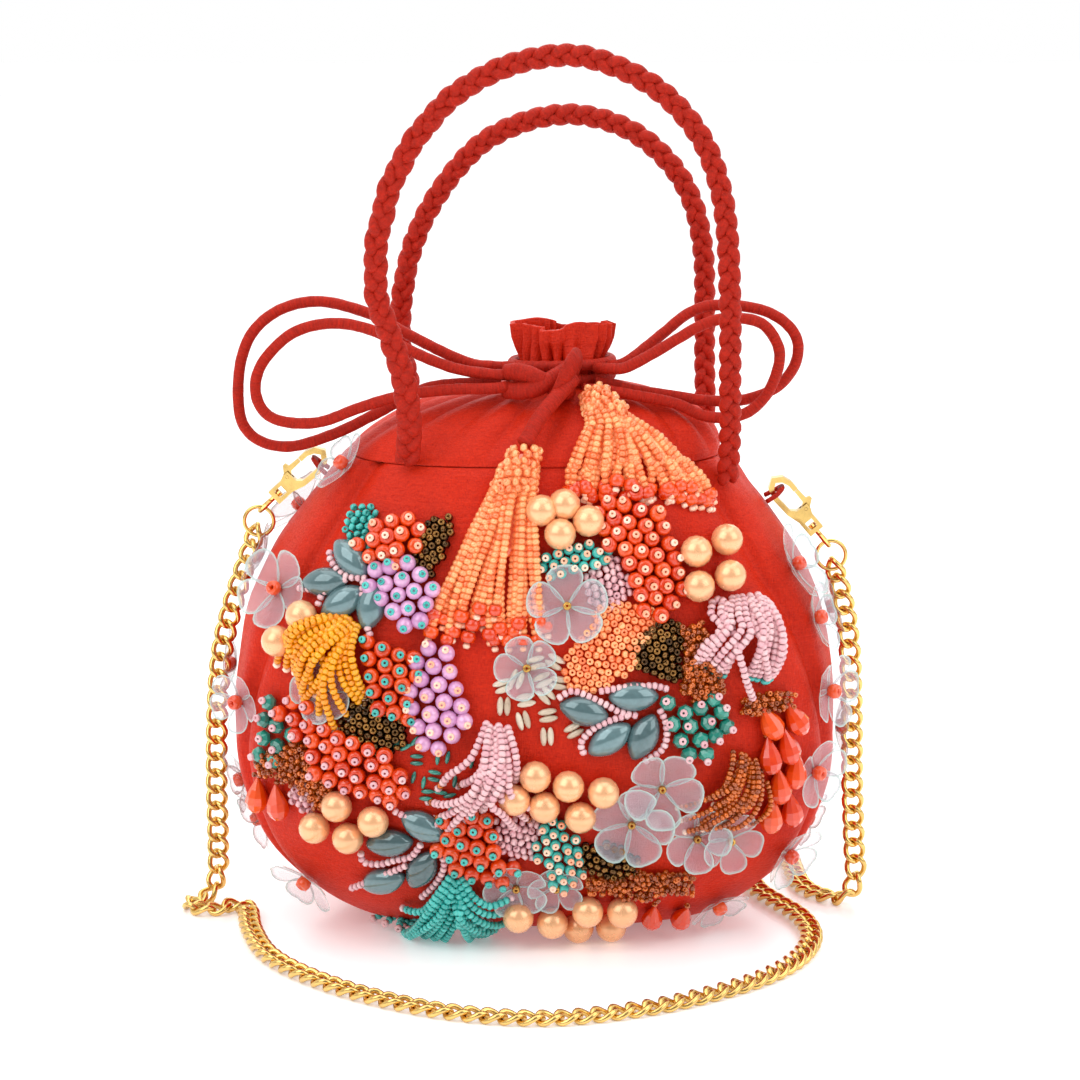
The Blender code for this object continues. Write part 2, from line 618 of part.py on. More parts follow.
def tassel(name, shape, finish):
    """A head of wound beads over a skirt of strands, which lies on the cloth."""
    eye = Vector((0, 0, HULL_EYE_Z))
    rows, heights = [], []
    for n, (x, angle, half, thick) in enumerate(shape):
        turn = math.radians(angle)
        row, tall = [], []
        for k in range(TASSEL_COLUMNS):
            across = 2 * k / (TASSEL_COLUMNS - 1) - 1
            start = eye + Vector(((x + half * across) * MM, 0, 0))
            row.append(on_hull(start, Vector((0, -math.cos(turn), math.sin(turn)))))
            flute = TASSEL_FLUTE if k % 2 == 0 and n > 1 else 0
            tall.append((thick * MM - flute) * (1 - 0.62 * across**4))
        rows.append(row)
        heights.append(tall)
    return laid_piece(name, rows, heights, finish)


def spray(name, top, left, right, finish):
    """A small tassel of bead strands spread from one stitch."""
    rows, heights = [], []
    for n in range(SPRAY_ROWS):
        part = n / (SPRAY_ROWS - 1)
        row, tall = [], []
        for k in range(SPRAY_COLUMNS):
            across = k / (SPRAY_COLUMNS - 1)
            foot_x = left[0] + (right[0] - left[0]) * across
            foot_z = left[1] + (right[1] - left[1]) * across
            head_x = top[0] + (across - 0.5) * SPRAY_TOP_WIDTH / MM
            row.append(on_front(head_x + (foot_x - head_x) * part, top[1] + (foot_z - top[1]) * part))
            tall.append(SPRAY_THICKNESS * (1.0 if k % 2 else 0.72))
        rows.append(row)
        heights.append(tall)
    return laid_piece(name, rows, heights, finish)


def frame_at(point):
    """Two directions along the cloth and the one out of it."""
    normal = outward(point)
    along = normal.cross(Vector((0, 0, 1))).normalized()
    return along, along.cross(normal).normalized(), normal


def cluster(name, x, z, half_width, half_height, stand, finish):
    """A mound of beads sewn down together, lumpy round its rim and on its crown."""
    builder = bmesh.new()
    point = on_front(x, z)
    along, up, normal = frame_at(point)
    ring = CLUSTER_LUMPS * 2

    def place(turn, reach):
        sideways = along * math.cos(turn) * half_width * MM * reach
        upwards = up * math.sin(turn) * half_height * MM * reach
        return laid(point, sideways, upwards, normal)

    turns = [math.tau * i / ring for i in range(ring)]
    rim = [place(turn, 1.0 if i % 2 == 0 else 0.84) for i, turn in enumerate(turns)]
    crown = [place(turn, 0.55) for turn in turns[::2]]
    low = [builder.verts.new(p + normal * LAID) for p in rim]
    high = [builder.verts.new(p + normal * (LAID + stand * MM * 0.5)) for p in rim]
    top = [
        builder.verts.new(p + normal * (LAID + stand * MM * (1.0 if i % 2 else 0.82)))
        for i, p in enumerate(crown)
    ]
    peak = builder.verts.new(point + normal * (LAID + stand * MM * 0.9))
    base = builder.verts.new(point + normal * LAID)
    for i in range(ring):
        j = (i + 1) % ring
        builder.faces.new((base, low[j], low[i]))
        builder.faces.new((low[i], low[j], high[j], high[i]))
    for i in range(CLUSTER_LUMPS):
        j = (i + 1) % CLUSTER_LUMPS
        left, right = high[2 * i], high[(2 * i + 2) % ring]
        builder.faces.new((left, high[2 * i + 1], top[i]))
        builder.faces.new((high[2 * i + 1], top[j], top[i]))
        builder.faces.new((high[2 * i + 1], right, top[j]))
        builder.faces.new((top[i], top[j], peak))
    return finished(name, builder, finish)


def round_bead(name, point, radius, finish):
    """A pearl whose thread pulls it a little into the cloth."""
    builder = bmesh.new()
    normal = outward(point)
    turn = normal.to_track_quat("Z", "Y").to_matrix().to_4x4()
    place = Matrix.Translation(point + normal * radius * 0.8) @ turn
    bmesh.ops.create_uvsphere(builder, u_segments=6, v_segments=3, radius=radius, matrix=place)
    made = finished(name, builder, finish)
    helper(made)
    return made


def stone(name, point, finish):
    """A flat glass stone with cut corners."""
    builder = bmesh.new()
    along, up, normal = frame_at(point)
    rings = []
    for depth, share in ((-0.6, 0.9), (0.5, 1.0), (1.0, 0.6)):
        ring = []
        for i in range(6):
            turn = math.tau * i / 6
            flat = along * math.cos(turn) * STONE_LENGTH / 2 + up * math.sin(turn) * STONE_WIDTH / 2
            ring.append(point + flat * share + normal * depth * STONE_HEIGHT)
        rings.append(ring)
    loft(builder, rings)
    made = finished(name, builder, finish)
    helper(made)
    return made


def flower(name, point, radius, finish):
    """A flower of five clear petals, cupped round its middle bead."""
    builder = bmesh.new()
    along, up, normal = frame_at(point)

    def star(reaches, rises):
        """Points round the flower, with their distances out and up by turns."""
        made = []
        for i, turn in enumerate(turns(PETALS * len(reaches))):
            away = (along * math.cos(turn) + up * math.sin(turn)) * radius * MM
            k = i % len(reaches)
            made.append(builder.verts.new(point + away * reaches[k] + normal * rises[k]))
        return made

    low = star((0.8,), (-PETAL_ROOT,))
    high = star((1.0, 0.5), (FLOWER_HEIGHT * 0.75, FLOWER_HEIGHT * 0.35))
    base = builder.verts.new(point - normal * PETAL_ROOT)
    peak = builder.verts.new(point + normal * FLOWER_HEIGHT)
    for i in range(PETALS):
        j = (i + 1) % PETALS
        tip, notch, after = high[2 * i], high[2 * i + 1], high[2 * j]
        builder.faces.new((base, low[j], low[i]))
        builder.faces.new((low[i], notch, tip))
        builder.faces.new((low[i], low[j], notch))
        builder.faces.new((low[j], after, notch))
        builder.faces.new((tip, notch, peak))
        builder.faces.new((notch, after, peak))
    made = finished(name, builder, finish)
    helper(made)
    return made


def sewn_beadwork(body, finish):
    """Fuses the pearls, stones and flowers with the pouch that carries them."""
    group = bpy.data.collections.new("sewn beadwork")
    bpy.context.scene.collection.children.link(group)
    pearl = finish["pearl"]
    pieces = [round_bead(f"pearl_{i}", on_front(*at), PEARL_RADIUS, pearl) for i, at in enumerate(PEARLS)]
    pieces += [stone(f"stone_{i}", on_front(*at), finish["glass"]) for i, at in enumerate(STONES)]
    blooms = [(on_front(x, z), size) for x, z, size in FRONT_FLOWERS]
    blooms += [(on_side(side, y, z), size) for side, y, z, size in SIDE_FLOWERS]
    pieces += [flower(f"flower_{i}", at, size, finish["petal"]) for i, (at, size) in enumerate(blooms)]
    for piece in pieces:
        bpy.context.scene.collection.objects.unlink(piece)
        group.objects.link(piece)
    union = body.modifiers.new("sewn beadwork", "BOOLEAN")
    union.operation = "UNION"
    union.operand_type = "COLLECTION"
    union.collection = group
    union.solver = "EXACT"


def plate(name, outline, thickness, mirror, finish):
    """An outline in the X and Z plane, made a plate of a thickness about Y = 0."""
    builder = bmesh.new()
    front = [builder.verts.new((x * MM * mirror, -thickness / 2, z * MM)) for x, z in outline]
    face = builder.faces.new(front)
    grown = bmesh.ops.extrude_face_region(builder, geom=[face])
    moved = [part for part in grown["geom"] if isinstance(part, bmesh.types.BMVert)]
    bmesh.ops.translate(builder, vec=(0, thickness, 0), verts=moved)
    return finished(name, builder, finish)


def box_cutter(name, corners, thickness, mirror):
    x0, z0, x1, z1 = corners
    return plate(name, ((x0, z0), (x1, z0), (x1, z1), (x0, z1)), thickness, mirror, None)


def rod(name, radius, length, centre, matrix, finish):
    """A round bar along the local Z of its matrix."""
    builder = bmesh.new()
    bmesh.ops.create_cone(builder, cap_ends=True, segments=8, radius1=radius, radius2=radius, depth=length)
    bmesh.ops.transform(builder, matrix=Matrix.Translation(centre) @ matrix, verts=builder.verts)
    return finished(name, builder, finish)


def hoop(name, centre, radius, wire, matrix, around, sides, finish):
    """A closed ring of wire round the local Z of its matrix."""
    builder = bmesh.new()
    rows = []
    for i in range(around):
        turn = math.tau * i / around
        away = Vector((math.cos(turn), math.sin(turn), 0))
        rows.append([
            builder.verts.new(
                away * (radius + wire / 2 * math.cos(math.tau * k / sides))
                + Vector((0, 0, wire / 2 * math.sin(math.tau * k / sides)))
            )
            for k in range(sides)
        ])
    for low, high in zip(rows, rows[1:] + rows[:1]):
        for k in range(sides):
            m = (k + 1) % sides
            builder.faces.new((low[k], low[m], high[m], high[k]))
    bmesh.ops.transform(builder, matrix=Matrix.Translation(centre) @ matrix, verts=builder.verts)
    return finished(name, builder, finish)


def clasp_frame(spot):
    """The clasp's own frame: its origin at the barrel's end and +Z towards the hook's top."""
    turn = Matrix.Rotation(math.radians(spot["slant"]), 4, "Y")
    contact = Vector((spot["contact"][0] * MM, 0, spot["contact"][1] * MM))
    origin = contact - turn @ Vector((0, 0, RING_CONTACT_Z))
    return Matrix.Translation(origin) @ turn


def ring_centre(spot):
    contact = Vector((spot["contact"][0] * MM, 0, spot["contact"][1] * MM))
    hang = Vector((spot["ring_to"][0], 0, spot["ring_to"][1])).normalized()
    return contact + hang * RING_RADIUS


def clasp(label, spot, finish):
    """A trigger clasp: hook, sprung lever on its pin, swivel eye and the chain's ring."""
    mirror = spot["side"]
    carrier = bpy.data.objects.new(f"clasp_frame_{label}", None)
    bpy.context.scene.collection.objects.link(carrier)
    carrier.matrix_world = clasp_frame(spot)
    level = Matrix.Rotation(math.radians(90), 4, "X")
    pivot = Vector((LEVER_PIVOT[0] * MM * mirror, 0, LEVER_PIVOT[1] * MM))

    hook = plate(f"clasp_hook_{label}", HOOK_OUTLINE, CLASP_THICKNESS, mirror, finish)
    slot = box_cutter(f"lever_slot_{label}", SLOT, LEVER_THICKNESS + RUNNING * 2, mirror)
    window = box_cutter(f"swivel_window_{label}", WINDOW, CLASP_THICKNESS * 2, mirror)
    bore_centre = Vector((0, 0, WINDOW[1] * MM / 2))
    bore_radius = SHANK_RADIUS + RUNNING * 2
    bore = rod(f"swivel_bore_{label}", bore_radius, WINDOW[1] * MM + SEAT * 2, bore_centre, Matrix(), None)
    pin_hole = rod(f"pin_hole_{label}", PIN_RADIUS + RUNNING, CLASP_THICKNESS * 2, pivot, level, None)
    for cutter in (slot, window, bore, pin_hole):
        cut(hook, cutter)

    lever_outline = [(x - LEVER_PIVOT[0], z - LEVER_PIVOT[1]) for x, z in LEVER_OUTLINE]
    lever = plate(f"trigger_lever_{label}", lever_outline, LEVER_THICKNESS, mirror, finish)
    lever_hole = rod(
        f"lever_hole_{label}", PIN_RADIUS + RUNNING * 1.3, LEVER_THICKNESS * 2, Vector(), level, None
    )
    lever.location = lever_hole.location = pivot
    cut(lever, lever_hole)
    pin = rod(f"lever_pin_{label}", PIN_RADIUS, CLASP_THICKNESS, pivot, level, finish)

    upright = Matrix.Rotation(math.radians(90), 4, "Y")
    eye = hoop(
        f"swivel_eye_{label}", Vector((0, 0, EYE_CENTRE_Z)), EYE_RADIUS, EYE_WIRE, upright, 10, 5, finish
    )
    shank_low = EYE_CENTRE_Z + EYE_RADIUS - EYE_WIRE * 0.3
    shank_high = WINDOW[1] * MM + SEAT + HEAD_HEIGHT / 2
    shank_middle = Vector((0, 0, (shank_low + shank_high) / 2))
    shank = rod(f"shank_{label}", SHANK_RADIUS, shank_high - shank_low, shank_middle, Matrix(), finish)
    head_middle = Vector((0, 0, WINDOW[1] * MM + SEAT + HEAD_HEIGHT / 2))
    head = rod(f"shank_head_{label}", HEAD_RADIUS, HEAD_HEIGHT, head_middle, Matrix(), finish)
    join(eye, shank)
    join(eye, head)
    for piece in (hook, slot, window, bore, pin_hole, lever, lever_hole, pin, eye, shank, head):
        piece.parent = carrier

    hoop(f"chain_ring_{label}", ring_centre(spot), RING_RADIUS, RING_WIRE, level, RING_SIDES, 5, finish)


def tab(label, spot, finish):
    """The loop of silk on the gusset that the hook is clipped through."""
    side = spot["side"]
    frame = clasp_frame(spot)
    crown = frame @ Vector((0, 0, TAB_CROWN_Z))
    inward = (frame.to_3x3() @ Vector((-side, 0, 0))).normalized()
    axis = (frame.to_3x3() @ Vector((0, 0, 1))).normalized()
    clear = CLASP_THICKNESS / 2 + TAB_THICKNESS / 2 + SEAT * 2
    ends = []
    for y in (-TAB_SPAN, TAB_SPAN):
        start = Vector((crown.x * 0.5, y, crown.z - 0.012))
        point = on_hull(start, (crown + Vector((0, y, 0)) + inward * 5 * MM - start).normalized())
        ends.append(point + outward(point) * (LAID + TAB_THICKNESS / 2))
    path = [
        ends[0],
        crown + inward * 2.2 * MM + Vector((0, -clear - 1.2 * MM, 0)),
        crown + Vector((0, -clear * 0.75, 0)),
        crown,
        crown + Vector((0, clear * 0.75, 0)),
        crown + inward * 2.2 * MM + Vector((0, clear + 1.2 * MM, 0)),
        ends[1],
    ]
    builder = bmesh.new()
    rings = []
    for point, along in zip(path, directions(path)):
        thick = axis - along * axis.dot(along)
        thick.normalize()
        wide = along.cross(thick).normalized()
        ring = []
        for k in range(6):
            turn = math.tau * k / 6
            ring.append(
                point + wide * math.cos(turn) * TAB_WIDTH / 2 + thick * math.sin(turn) * TAB_THICKNESS / 2
            )
        rings.append(ring)
    loft(builder, rings)
    return finished(f"fabric_tab_{label}", builder, finish, smooth=True)


def chain_points(spots):
    """The chain's route from ring to ring, hooked round each ring's wire."""
    route = [Vector(point) * MM for point in CHAIN_ROUTE]
    ends = []
    for spot, after in ((spots["left"], route[0]), (spots["right"], route[-1])):
        middle = ring_centre(spot)
        hang = (after - middle).normalized()
        ends.append(middle + hang * (RING_RADIUS - RING_WIRE / 2 - SEAT / 2 - CHAIN_WIRE))
    return [tuple(point / MM) for point in (ends[0], *route, ends[1])]


def nearest_turn(along, side, front, wanted):
    """The turn about the chain that brings its flat face to a wanted direction, either way up."""
    flat = wanted - along * wanted.dot(along)
    turn = math.atan2(-flat.dot(side), flat.dot(front))
    return (turn + math.pi / 2) % math.pi - math.pi / 2


def chain_frames(points, spacing):
    """Side and front directions along the chain: flat on the floor, and facing front where it hangs."""
    along = directions(points)
    front = Vector((0, -1, 0))
    carried = []
    for direction in along:
        front = (front - direction * front.dot(direction)).normalized()
        carried.append((direction.cross(front).normalized(), front.copy()))
    known = {}
    last = len(points) - 1
    for i, (point, direction) in enumerate(zip(points, along)):
        side, face = carried[i]
        if point.z < CHAIN_FLAT_BELOW:
            known[i] = nearest_turn(direction, side, face, Vector((0, 0, 1)))
        elif CHAIN_TURNING < i * spacing < last * spacing - CHAIN_TURNING and abs(direction.z) > 0.97:
            known[i] = nearest_turn(direction, side, face, Vector((0, 1, 0)))
    known[0] = nearest_turn(along[0], *carried[0], Vector((0, 1, 0))) - CHAIN_END_TWIST
    known[last] = nearest_turn(along[last], *carried[last], Vector((0, 1, 0))) + CHAIN_END_TWIST
    places = sorted(known)
    for low, high in zip(places, places[1:]):
        known[high] += round((known[low] - known[high]) / math.pi) * math.pi
    frames = []
    for i in range(len(points)):
        low = max(place for place in places if place <= i)
        high = min(place for place in places if place >= i)
        part = (i - low) / max(high - low, 1)
        turn = known[low] + (known[high] - known[low]) * part
        side, face = carried[i]
        frames.append((
            side * math.cos(turn) + face * math.sin(turn), face * math.cos(turn) - side * math.sin(turn)
        ))
    return along, frames


def chain(spots, finish):
    """A curb chain: twisted oval links, each through the next, fused where their wires bear."""
    spacing = CHAIN_PITCH / 2
    points = smooth_route(chain_points(spots), spacing, group=2)
    along, frames = chain_frames(points, spacing)
    builder = bmesh.new()
    wire = CHAIN_WIRE
    corner = wire / math.sqrt(2)

    def at(i, side, front, forward=0.0):
        sideways, face = frames[i]
        return points[i] + sideways * side + face * front + along[i] * forward

    def crossing(i):
        """The four corners of the small square where two links bear on each other."""
        places = ((corner, 0), (0, corner), (-corner, 0), (0, -corner))
        return [builder.verts.new(at(i, side, front)) for side, front in places]

    apex = wire * 0.55 / math.sqrt(2)
    joints = [crossing(i) for i in range(0, len(points), 2)]
    for n in range(len(joints) - 1):
        low, middle, high = 2 * n, 2 * n + 1, 2 * n + 2
        a, b, c, d = joints[n]
        e, f, g, h = joints[n + 1]
        left_top = (a, d, builder.verts.new(at(low, apex, -apex, -wire)))
        left_low = (b, c, builder.verts.new(at(low, -apex, apex, -wire)))
        right_top = (f, e, builder.verts.new(at(high, apex, apex, wire)))
        right_low = (g, h, builder.verts.new(at(high, -apex, -apex, wire)))
        waist = CHAIN_WIDTH / 2 - wire
        middle_top = [
            builder.verts.new(at(middle, side, front))
            for side, front in ((waist, wire / 2), (waist, -wire / 2), (CHAIN_WIDTH / 2, 0))
        ]
        middle_low = [
            builder.verts.new(at(middle, side, front))
            for side, front in ((-waist, wire / 2), (-waist, -wire / 2), (-CHAIN_WIDTH / 2, 0))
        ]
        bars = (right_top, middle_top, left_top, left_low, middle_low, right_low)
        for first, second in zip(bars, bars[1:] + bars[:1]):
            end_bar = (first, second) in ((left_top, left_low), (right_low, right_top))
            bearing = end_bar and not (n == 0 and first is left_top) and not (
                n == len(joints) - 2 and first is right_low
            )
            for k in range(3):
                if k == 0 and bearing:
                    continue
                m = (k + 1) % 3
                builder.faces.new((first[k], first[m], second[m], second[k]))
    return finished("chain_strap", builder, finish)


def main():
    for old in list(bpy.data.objects):
        bpy.data.objects.remove(old)
    finish = finishes()
    body = pouch(finish["silk"])
    sewn_beadwork(body, finish)
    yoke(finish["silk"])
    braided_handle("front_handle", FRONT_HANDLE_ROUTE, FRONT_FEET, -1, finish["cord"])
    braided_handle("back_handle", BACK_HANDLE_ROUTE, BACK_FEET, 1, finish["cord"])
    for name, route in BOW_ROUTES.items():
        string(name, route, finish["cord"])
    string_wrap(finish["cord"])
    knot(finish["cord"])
    tassel("left_tassel", LEFT_TASSEL, finish["peach"])
    tassel("right_tassel", RIGHT_TASSEL, finish["peach"])
    for name, (x, z, half_width, half_height, stand, colour) in CLUSTERS.items():
        cluster(name, x, z, half_width, half_height, stand, finish[colour])
    for name, (top, left, right, colour) in SPRAYS.items():
        spray(name, top, left, right, finish[colour])
    for label, spot in CLASPS.items():
        clasp(label, spot, finish["gold"])
        tab(label, spot, finish["silk"])
    chain(CLASPS, finish["gold"])


main()
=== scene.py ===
"""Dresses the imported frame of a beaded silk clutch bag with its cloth, cords, beads and gilt chain."""

import math
import random
from functools import cache

import bmesh
import bpy
import numpy as np
from bpy.props import FloatProperty, FloatVectorProperty, IntProperty, PointerProperty
from mathutils import Matrix, Vector, noise
from mathutils.bvhtree import BVHTree


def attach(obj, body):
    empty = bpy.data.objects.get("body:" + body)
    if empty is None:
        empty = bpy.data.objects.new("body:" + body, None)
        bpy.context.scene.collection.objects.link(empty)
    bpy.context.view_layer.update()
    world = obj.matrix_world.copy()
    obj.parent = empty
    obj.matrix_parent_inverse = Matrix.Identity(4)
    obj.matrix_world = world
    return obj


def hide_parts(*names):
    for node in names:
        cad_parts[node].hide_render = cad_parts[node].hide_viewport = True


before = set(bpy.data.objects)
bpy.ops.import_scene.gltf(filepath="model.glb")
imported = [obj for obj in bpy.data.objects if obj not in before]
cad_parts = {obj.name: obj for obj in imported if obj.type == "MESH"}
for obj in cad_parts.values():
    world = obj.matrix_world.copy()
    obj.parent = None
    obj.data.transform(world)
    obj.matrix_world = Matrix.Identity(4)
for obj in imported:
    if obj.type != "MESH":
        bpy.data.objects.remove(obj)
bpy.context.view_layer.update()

bl_info = {
    "name": "Beaded drawstring clutch bag",
    "version": (1, 0, 0),
    "blender": (4, 5, 0),
    "location": "3D View > Sidebar > Clutch bag",
    "description": "Models the cloth, cords, beadwork and chain of a beaded clutch bag",
    "category": "Add Mesh",
}

MM = 0.001

# Camera: where the photograph was taken from, and the size of its frame
CAMERA_PLACE = Vector((1.5, -978.15, 321.91)) * MM
CAMERA_ELEVATION = math.radians(12)
CAMERA_LENS = 111.11
SENSOR_WIDTH = 36.0
PHOTO_SIZE = 1080

# Stage: the table, how the room brightens from front to back, and the lamps with size and share of light
TABLE_SIZE = 6.0
TABLE_MIDDLE = (0, 0.8, 0)
TABLE_LIE = 0.5 * MM
TABLE_GAP = 0.1 * MM
TABLE_FACING = Vector((0, -0.3, 1)).normalized()
FLOOR_GLOW = 0.22
ROOM_FRONT = 0.3
ROOM_DEPTHS = (-0.9, 0.3)
LAMP_TARGET = Vector((0, 0, 0.11))
LAMPS = (
    ("soft_left", (-0.75, -0.75, 0.95), 1.1, 1.0), ("soft_right", (0.85, -0.55, 0.7), 0.9, 0.55),
    ("soft_top", (0.0, 0.1, 1.3), 1.4, 0.9), ("soft_back", (0.1, 1.0, 0.8), 1.0, 0.35),
)

# Pouch: height, half width and half depth of each level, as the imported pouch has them
POUCH_LEVELS = (
    (0, 46, 22), (4, 57, 32), (13, 70, 42), (26, 81.5, 48), (44, 88.5, 51), (62, 90.5, 52),
    (81, 89, 50), (98, 85, 46.5), (112, 78, 43), (125, 69, 39), (134, 62, 36), (142, 55.8, 33.3),
)
POUCH_SQUARENESS = 2.7
POUCH_SIDES = 380
POUCH_RINGS = 130
POUCH_BASE_SHARES = (0.15, 0.5, 0.8, 0.95)
POUCH_TOP_SHARES = (0.97, 0.6, 0.2)
PANEL_SEAM_LOW = 0.45
PANEL_SEAM_HIGH = 0.7
PANEL_SEAM_BEND = 55
PANEL_SEAM_WIDTH = 1.8 * MM
PANEL_SEAM_SINK = 2.4 * MM
PANEL_SEAM_PUFF = 0.35

# Yoke: height over the seam, half width, half depth and lean of each level, then the neck and ruffle
SEAM_Z = 142.0 * MM
YOKE_LEVELS = (
    (0, 55.8, 33.3, 0), (6, 51.5, 30.5, 2.5), (12, 44, 26, 5), (16.5, 33, 20, 6.5), (19, 22, 14.5, 7.5),
    (21, 12.5, 9, 8), (27, 12.5, 9, 8), (31, 13.8, 7.4, 8), (37.5, 14.8, 5.6, 8),
)
NECK_LEAN = 8.0 * MM
NECK_HALF_WIDTH = 12.5 * MM
NECK_HALF_DEPTH = 9.0 * MM
NECK_SQUARENESS = 2.4
NECK_LEVEL = 5
RUFFLE_START = 27
RUFFLE_INNER_DROPS = (0.0, 3.0, 6.0, 8.5)
RUFFLE_DEPTH = 10
RUFFLE_FLOOR = (5.5, 3.0, 8)
RUFFLE_FLOOR_GATHERS = 0.3
RUFFLE_PLEAT = 1.3 * MM
PLEATS = 4.5
YOKE_SIDES = 400
YOKE_RINGS = 90
CLOTH_THICKNESS = 1.3 * MM
GATHERS = 17

# Handles: the routes of the braids' middles, and where their ends are sewn down, as x and z
FRONT_HANDLE_ROUTE = (
    (-36, -36, 156), (-37, -37, 166), (-40, -37, 178), (-44.6, -36, 191), (-45, -36, 206), (-41, -36, 223),
    (-33.7, -36, 237), (-22.4, -36, 249.5), (-7, -36, 257.8), (9.9, -36, 260.6), (24, -36, 257),
    (36.6, -36, 249.5), (46.6, -36, 238), (52, -36, 225), (54.5, -36, 211), (55.6, -36, 191),
    (56, -34, 168), (56.5, -28, 151),
)
FRONT_FEET = ((-36.0, 143.0), (55.0, 136.0))
BACK_HANDLE_ROUTE = (
    (-39, 36, 156), (-41, 37, 164), (-41.5, 37, 172), (-40.4, 36, 185), (-36.7, 36, 200), (-28.9, 36, 215),
    (-16.7, 36, 229), (-1.5, 36, 236.4), (13.6, 36, 238), (28.8, 36, 233.4), (40.4, 36, 224),
    (47.8, 36, 212), (51.3, 36, 197), (52, 36, 181.5), (52, 34, 165), (52, 29, 151),
)
BACK_FEET = ((-38.0, 143.0), (51.0, 137.0))
BRAID_STEP = 0.85 * MM
BRAID_STRANDS = 3
BRAID_LOBE = 5.1 * MM
BRAID_SWING = 1.75 * MM
BRAID_DIP = 1.1 * MM
BRAID_STRAND_WIDTH = 4.1 * MM
BRAID_STRAND_THICKNESS = 3.2 * MM
BRAID_LIFT = 2.2 * MM

# Drawstring: the four loops of its bow, its turns round the neck, its knot and its tail
STRING_DIAMETER = 3.4 * MM
BOW_ROUTES = {
    "left_outer": (
        (-6.05, -8.3, 168), (-12, -12, 168.6), (-21, -11, 170), (-38, -9, 178), (-47, -8, 183),
        (-62, -7, 187), (-74, -7, 185), (-83, -8, 178), (-87, -8, 167), (-87, -8, 153), (-82, -8, 146),
        (-72, -8, 144), (-59, -9, 148), (-47, -10, 154), (-32, -12, 162), (-17, -14, 164),
        (-10, -13.4, 164),
    ),
    "left_inner": (
        (-8.5, -17.2, 166.9), (-13, -17.6, 167.2), (-24, -17, 169), (-37, -15, 174), (-46, -14, 179),
        (-58, -13, 181.5), (-70, -13, 179), (-79, -13, 171), (-82, -13, 163), (-80, -13.5, 156),
        (-74, -14, 152.5), (-63, -15, 152.5), (-51, -16, 157), (-38, -18, 161), (-24, -20, 163),
        (-13, -20.4, 163.3), (-8.3, -19.4, 163.7),
    ),
    "right_outer": (
        (21.95, -8.3, 168), (26.5, -10.8, 169.5), (33, -9, 174), (38, -8, 178), (46, -7, 184),
        (55, -7, 186), (68, -7, 184), (76, -8, 178), (77, -8, 170), (72, -8.5, 162.5), (63, -9, 158.5),
        (52, -10, 158), (40, -12, 160), (29, -14, 162), (24, -13.6, 163.4), (18, -12.6, 164.4),
    ),
    "right_inner": (
        (18.1, -11.75, 168), (21.6, -15.6, 168.5), (26, -16.5, 168.8), (33, -15, 172), (40, -14, 176),
        (49, -13, 181), (57, -13, 183), (66, -13, 181.5), (71, -13.5, 175), (71, -14, 168),
        (67, -14.5, 159.5), (60, -15, 154.5), (50, -16, 154.5), (41, -17, 158.5), (30, -18.8, 161),
        (22, -18.8, 162.4), (14, -18.2, 163),
    ),
}
STRING_STEP = 1.1 * MM
STRING_CREASE = 0.07
WRAP_HEIGHTS = (164.75 * MM, 168.2 * MM)
WRAP_POINTS = 120
WRAP_SIDES = 12
WRAP_GAP = 0.3 * MM
WRAP_SLOPE = 0.5 * MM
KNOT_ROLLS = {
    "knot_roll_left": (
        (-8.0, -17.0, 167.5), (-5, -19.2, 168.2), (-1, -20.8, 167.4), (3, -21.0, 165.4),
        (7, -19.5, 163.0), (10.5, -17, 161.8),
    ),
    "knot_roll_right": (
        (-8.5, -17.6, 162.6), (-5, -20, 162.5), (0, -21.5, 163.6), (5, -21.0, 166.2),
        (9, -18.8, 168.2), (11.5, -16.6, 168.8),
    ),
}
KNOT_ROLL_SIZE = (5.2 * MM, 4.6 * MM)
KNOT_BAND_ROUTE = (
    (12.5, -14.6, 170.6), (11.5, -19.0, 171.4), (9.5, -22.6, 168.6), (8.0, -23.4, 164.8),
    (6.5, -21.6, 161.4), (5.5, -17.5, 160.4),
)
KNOT_BAND_SIZE = (3.0 * MM, 7.2 * MM)
KNOT_STEP = 0.8 * MM
TAIL_ROUTE = ((11, -19.5, 166), (7.5, -25, 163), (2, -31, 157.5), (-3, -36.6, 149.9))
TAIL_DIAMETER = 4.6 * MM
TAIL_STEP = 0.9 * MM

# Large tassels: x, angle up from level at the eye, half width and thickness from head to hem,
# and how many strands each has in its lowest layer and loses in each layer over it
TASSEL_EYE_Z = 110.0 * MM
TASSEL_HEAD = 0.24
TASSEL_HEAD_ROWS = 8
TASSEL_STRANDS = {"left_tassel": 12, "right_tassel": 16}
TASSEL_LAYERS = 3
TASSEL_THINNING = 3
TASSEL_STEPS = 40
TASSEL_CORE_RINGS = 12
TASSEL_CORE_LENGTH = 0.6
TASSEL_CORE_WIDTH = 0.92
LARGE_TASSELS = {
    "left_tassel": (
        (-3, 49, 4, 8), (-5, 42, 5.4, 9), (-7.5, 32, 7.2, 8), (-9.6, 20, 9.8, 7), (-11.6, 7, 12.4, 6),
        (-13.2, -6, 15.6, 5.5), (-13.6, -18, 17.6, 4),
    ),
    "right_tassel": (
        (17.5, 69, 4, 7.5), (20.5, 63, 6, 8.5), (25, 57, 9.5, 7.5), (28, 50, 15, 6.5),
        (29.5, 43, 20, 5.5), (30, 37, 22, 4.5),
    ),
}

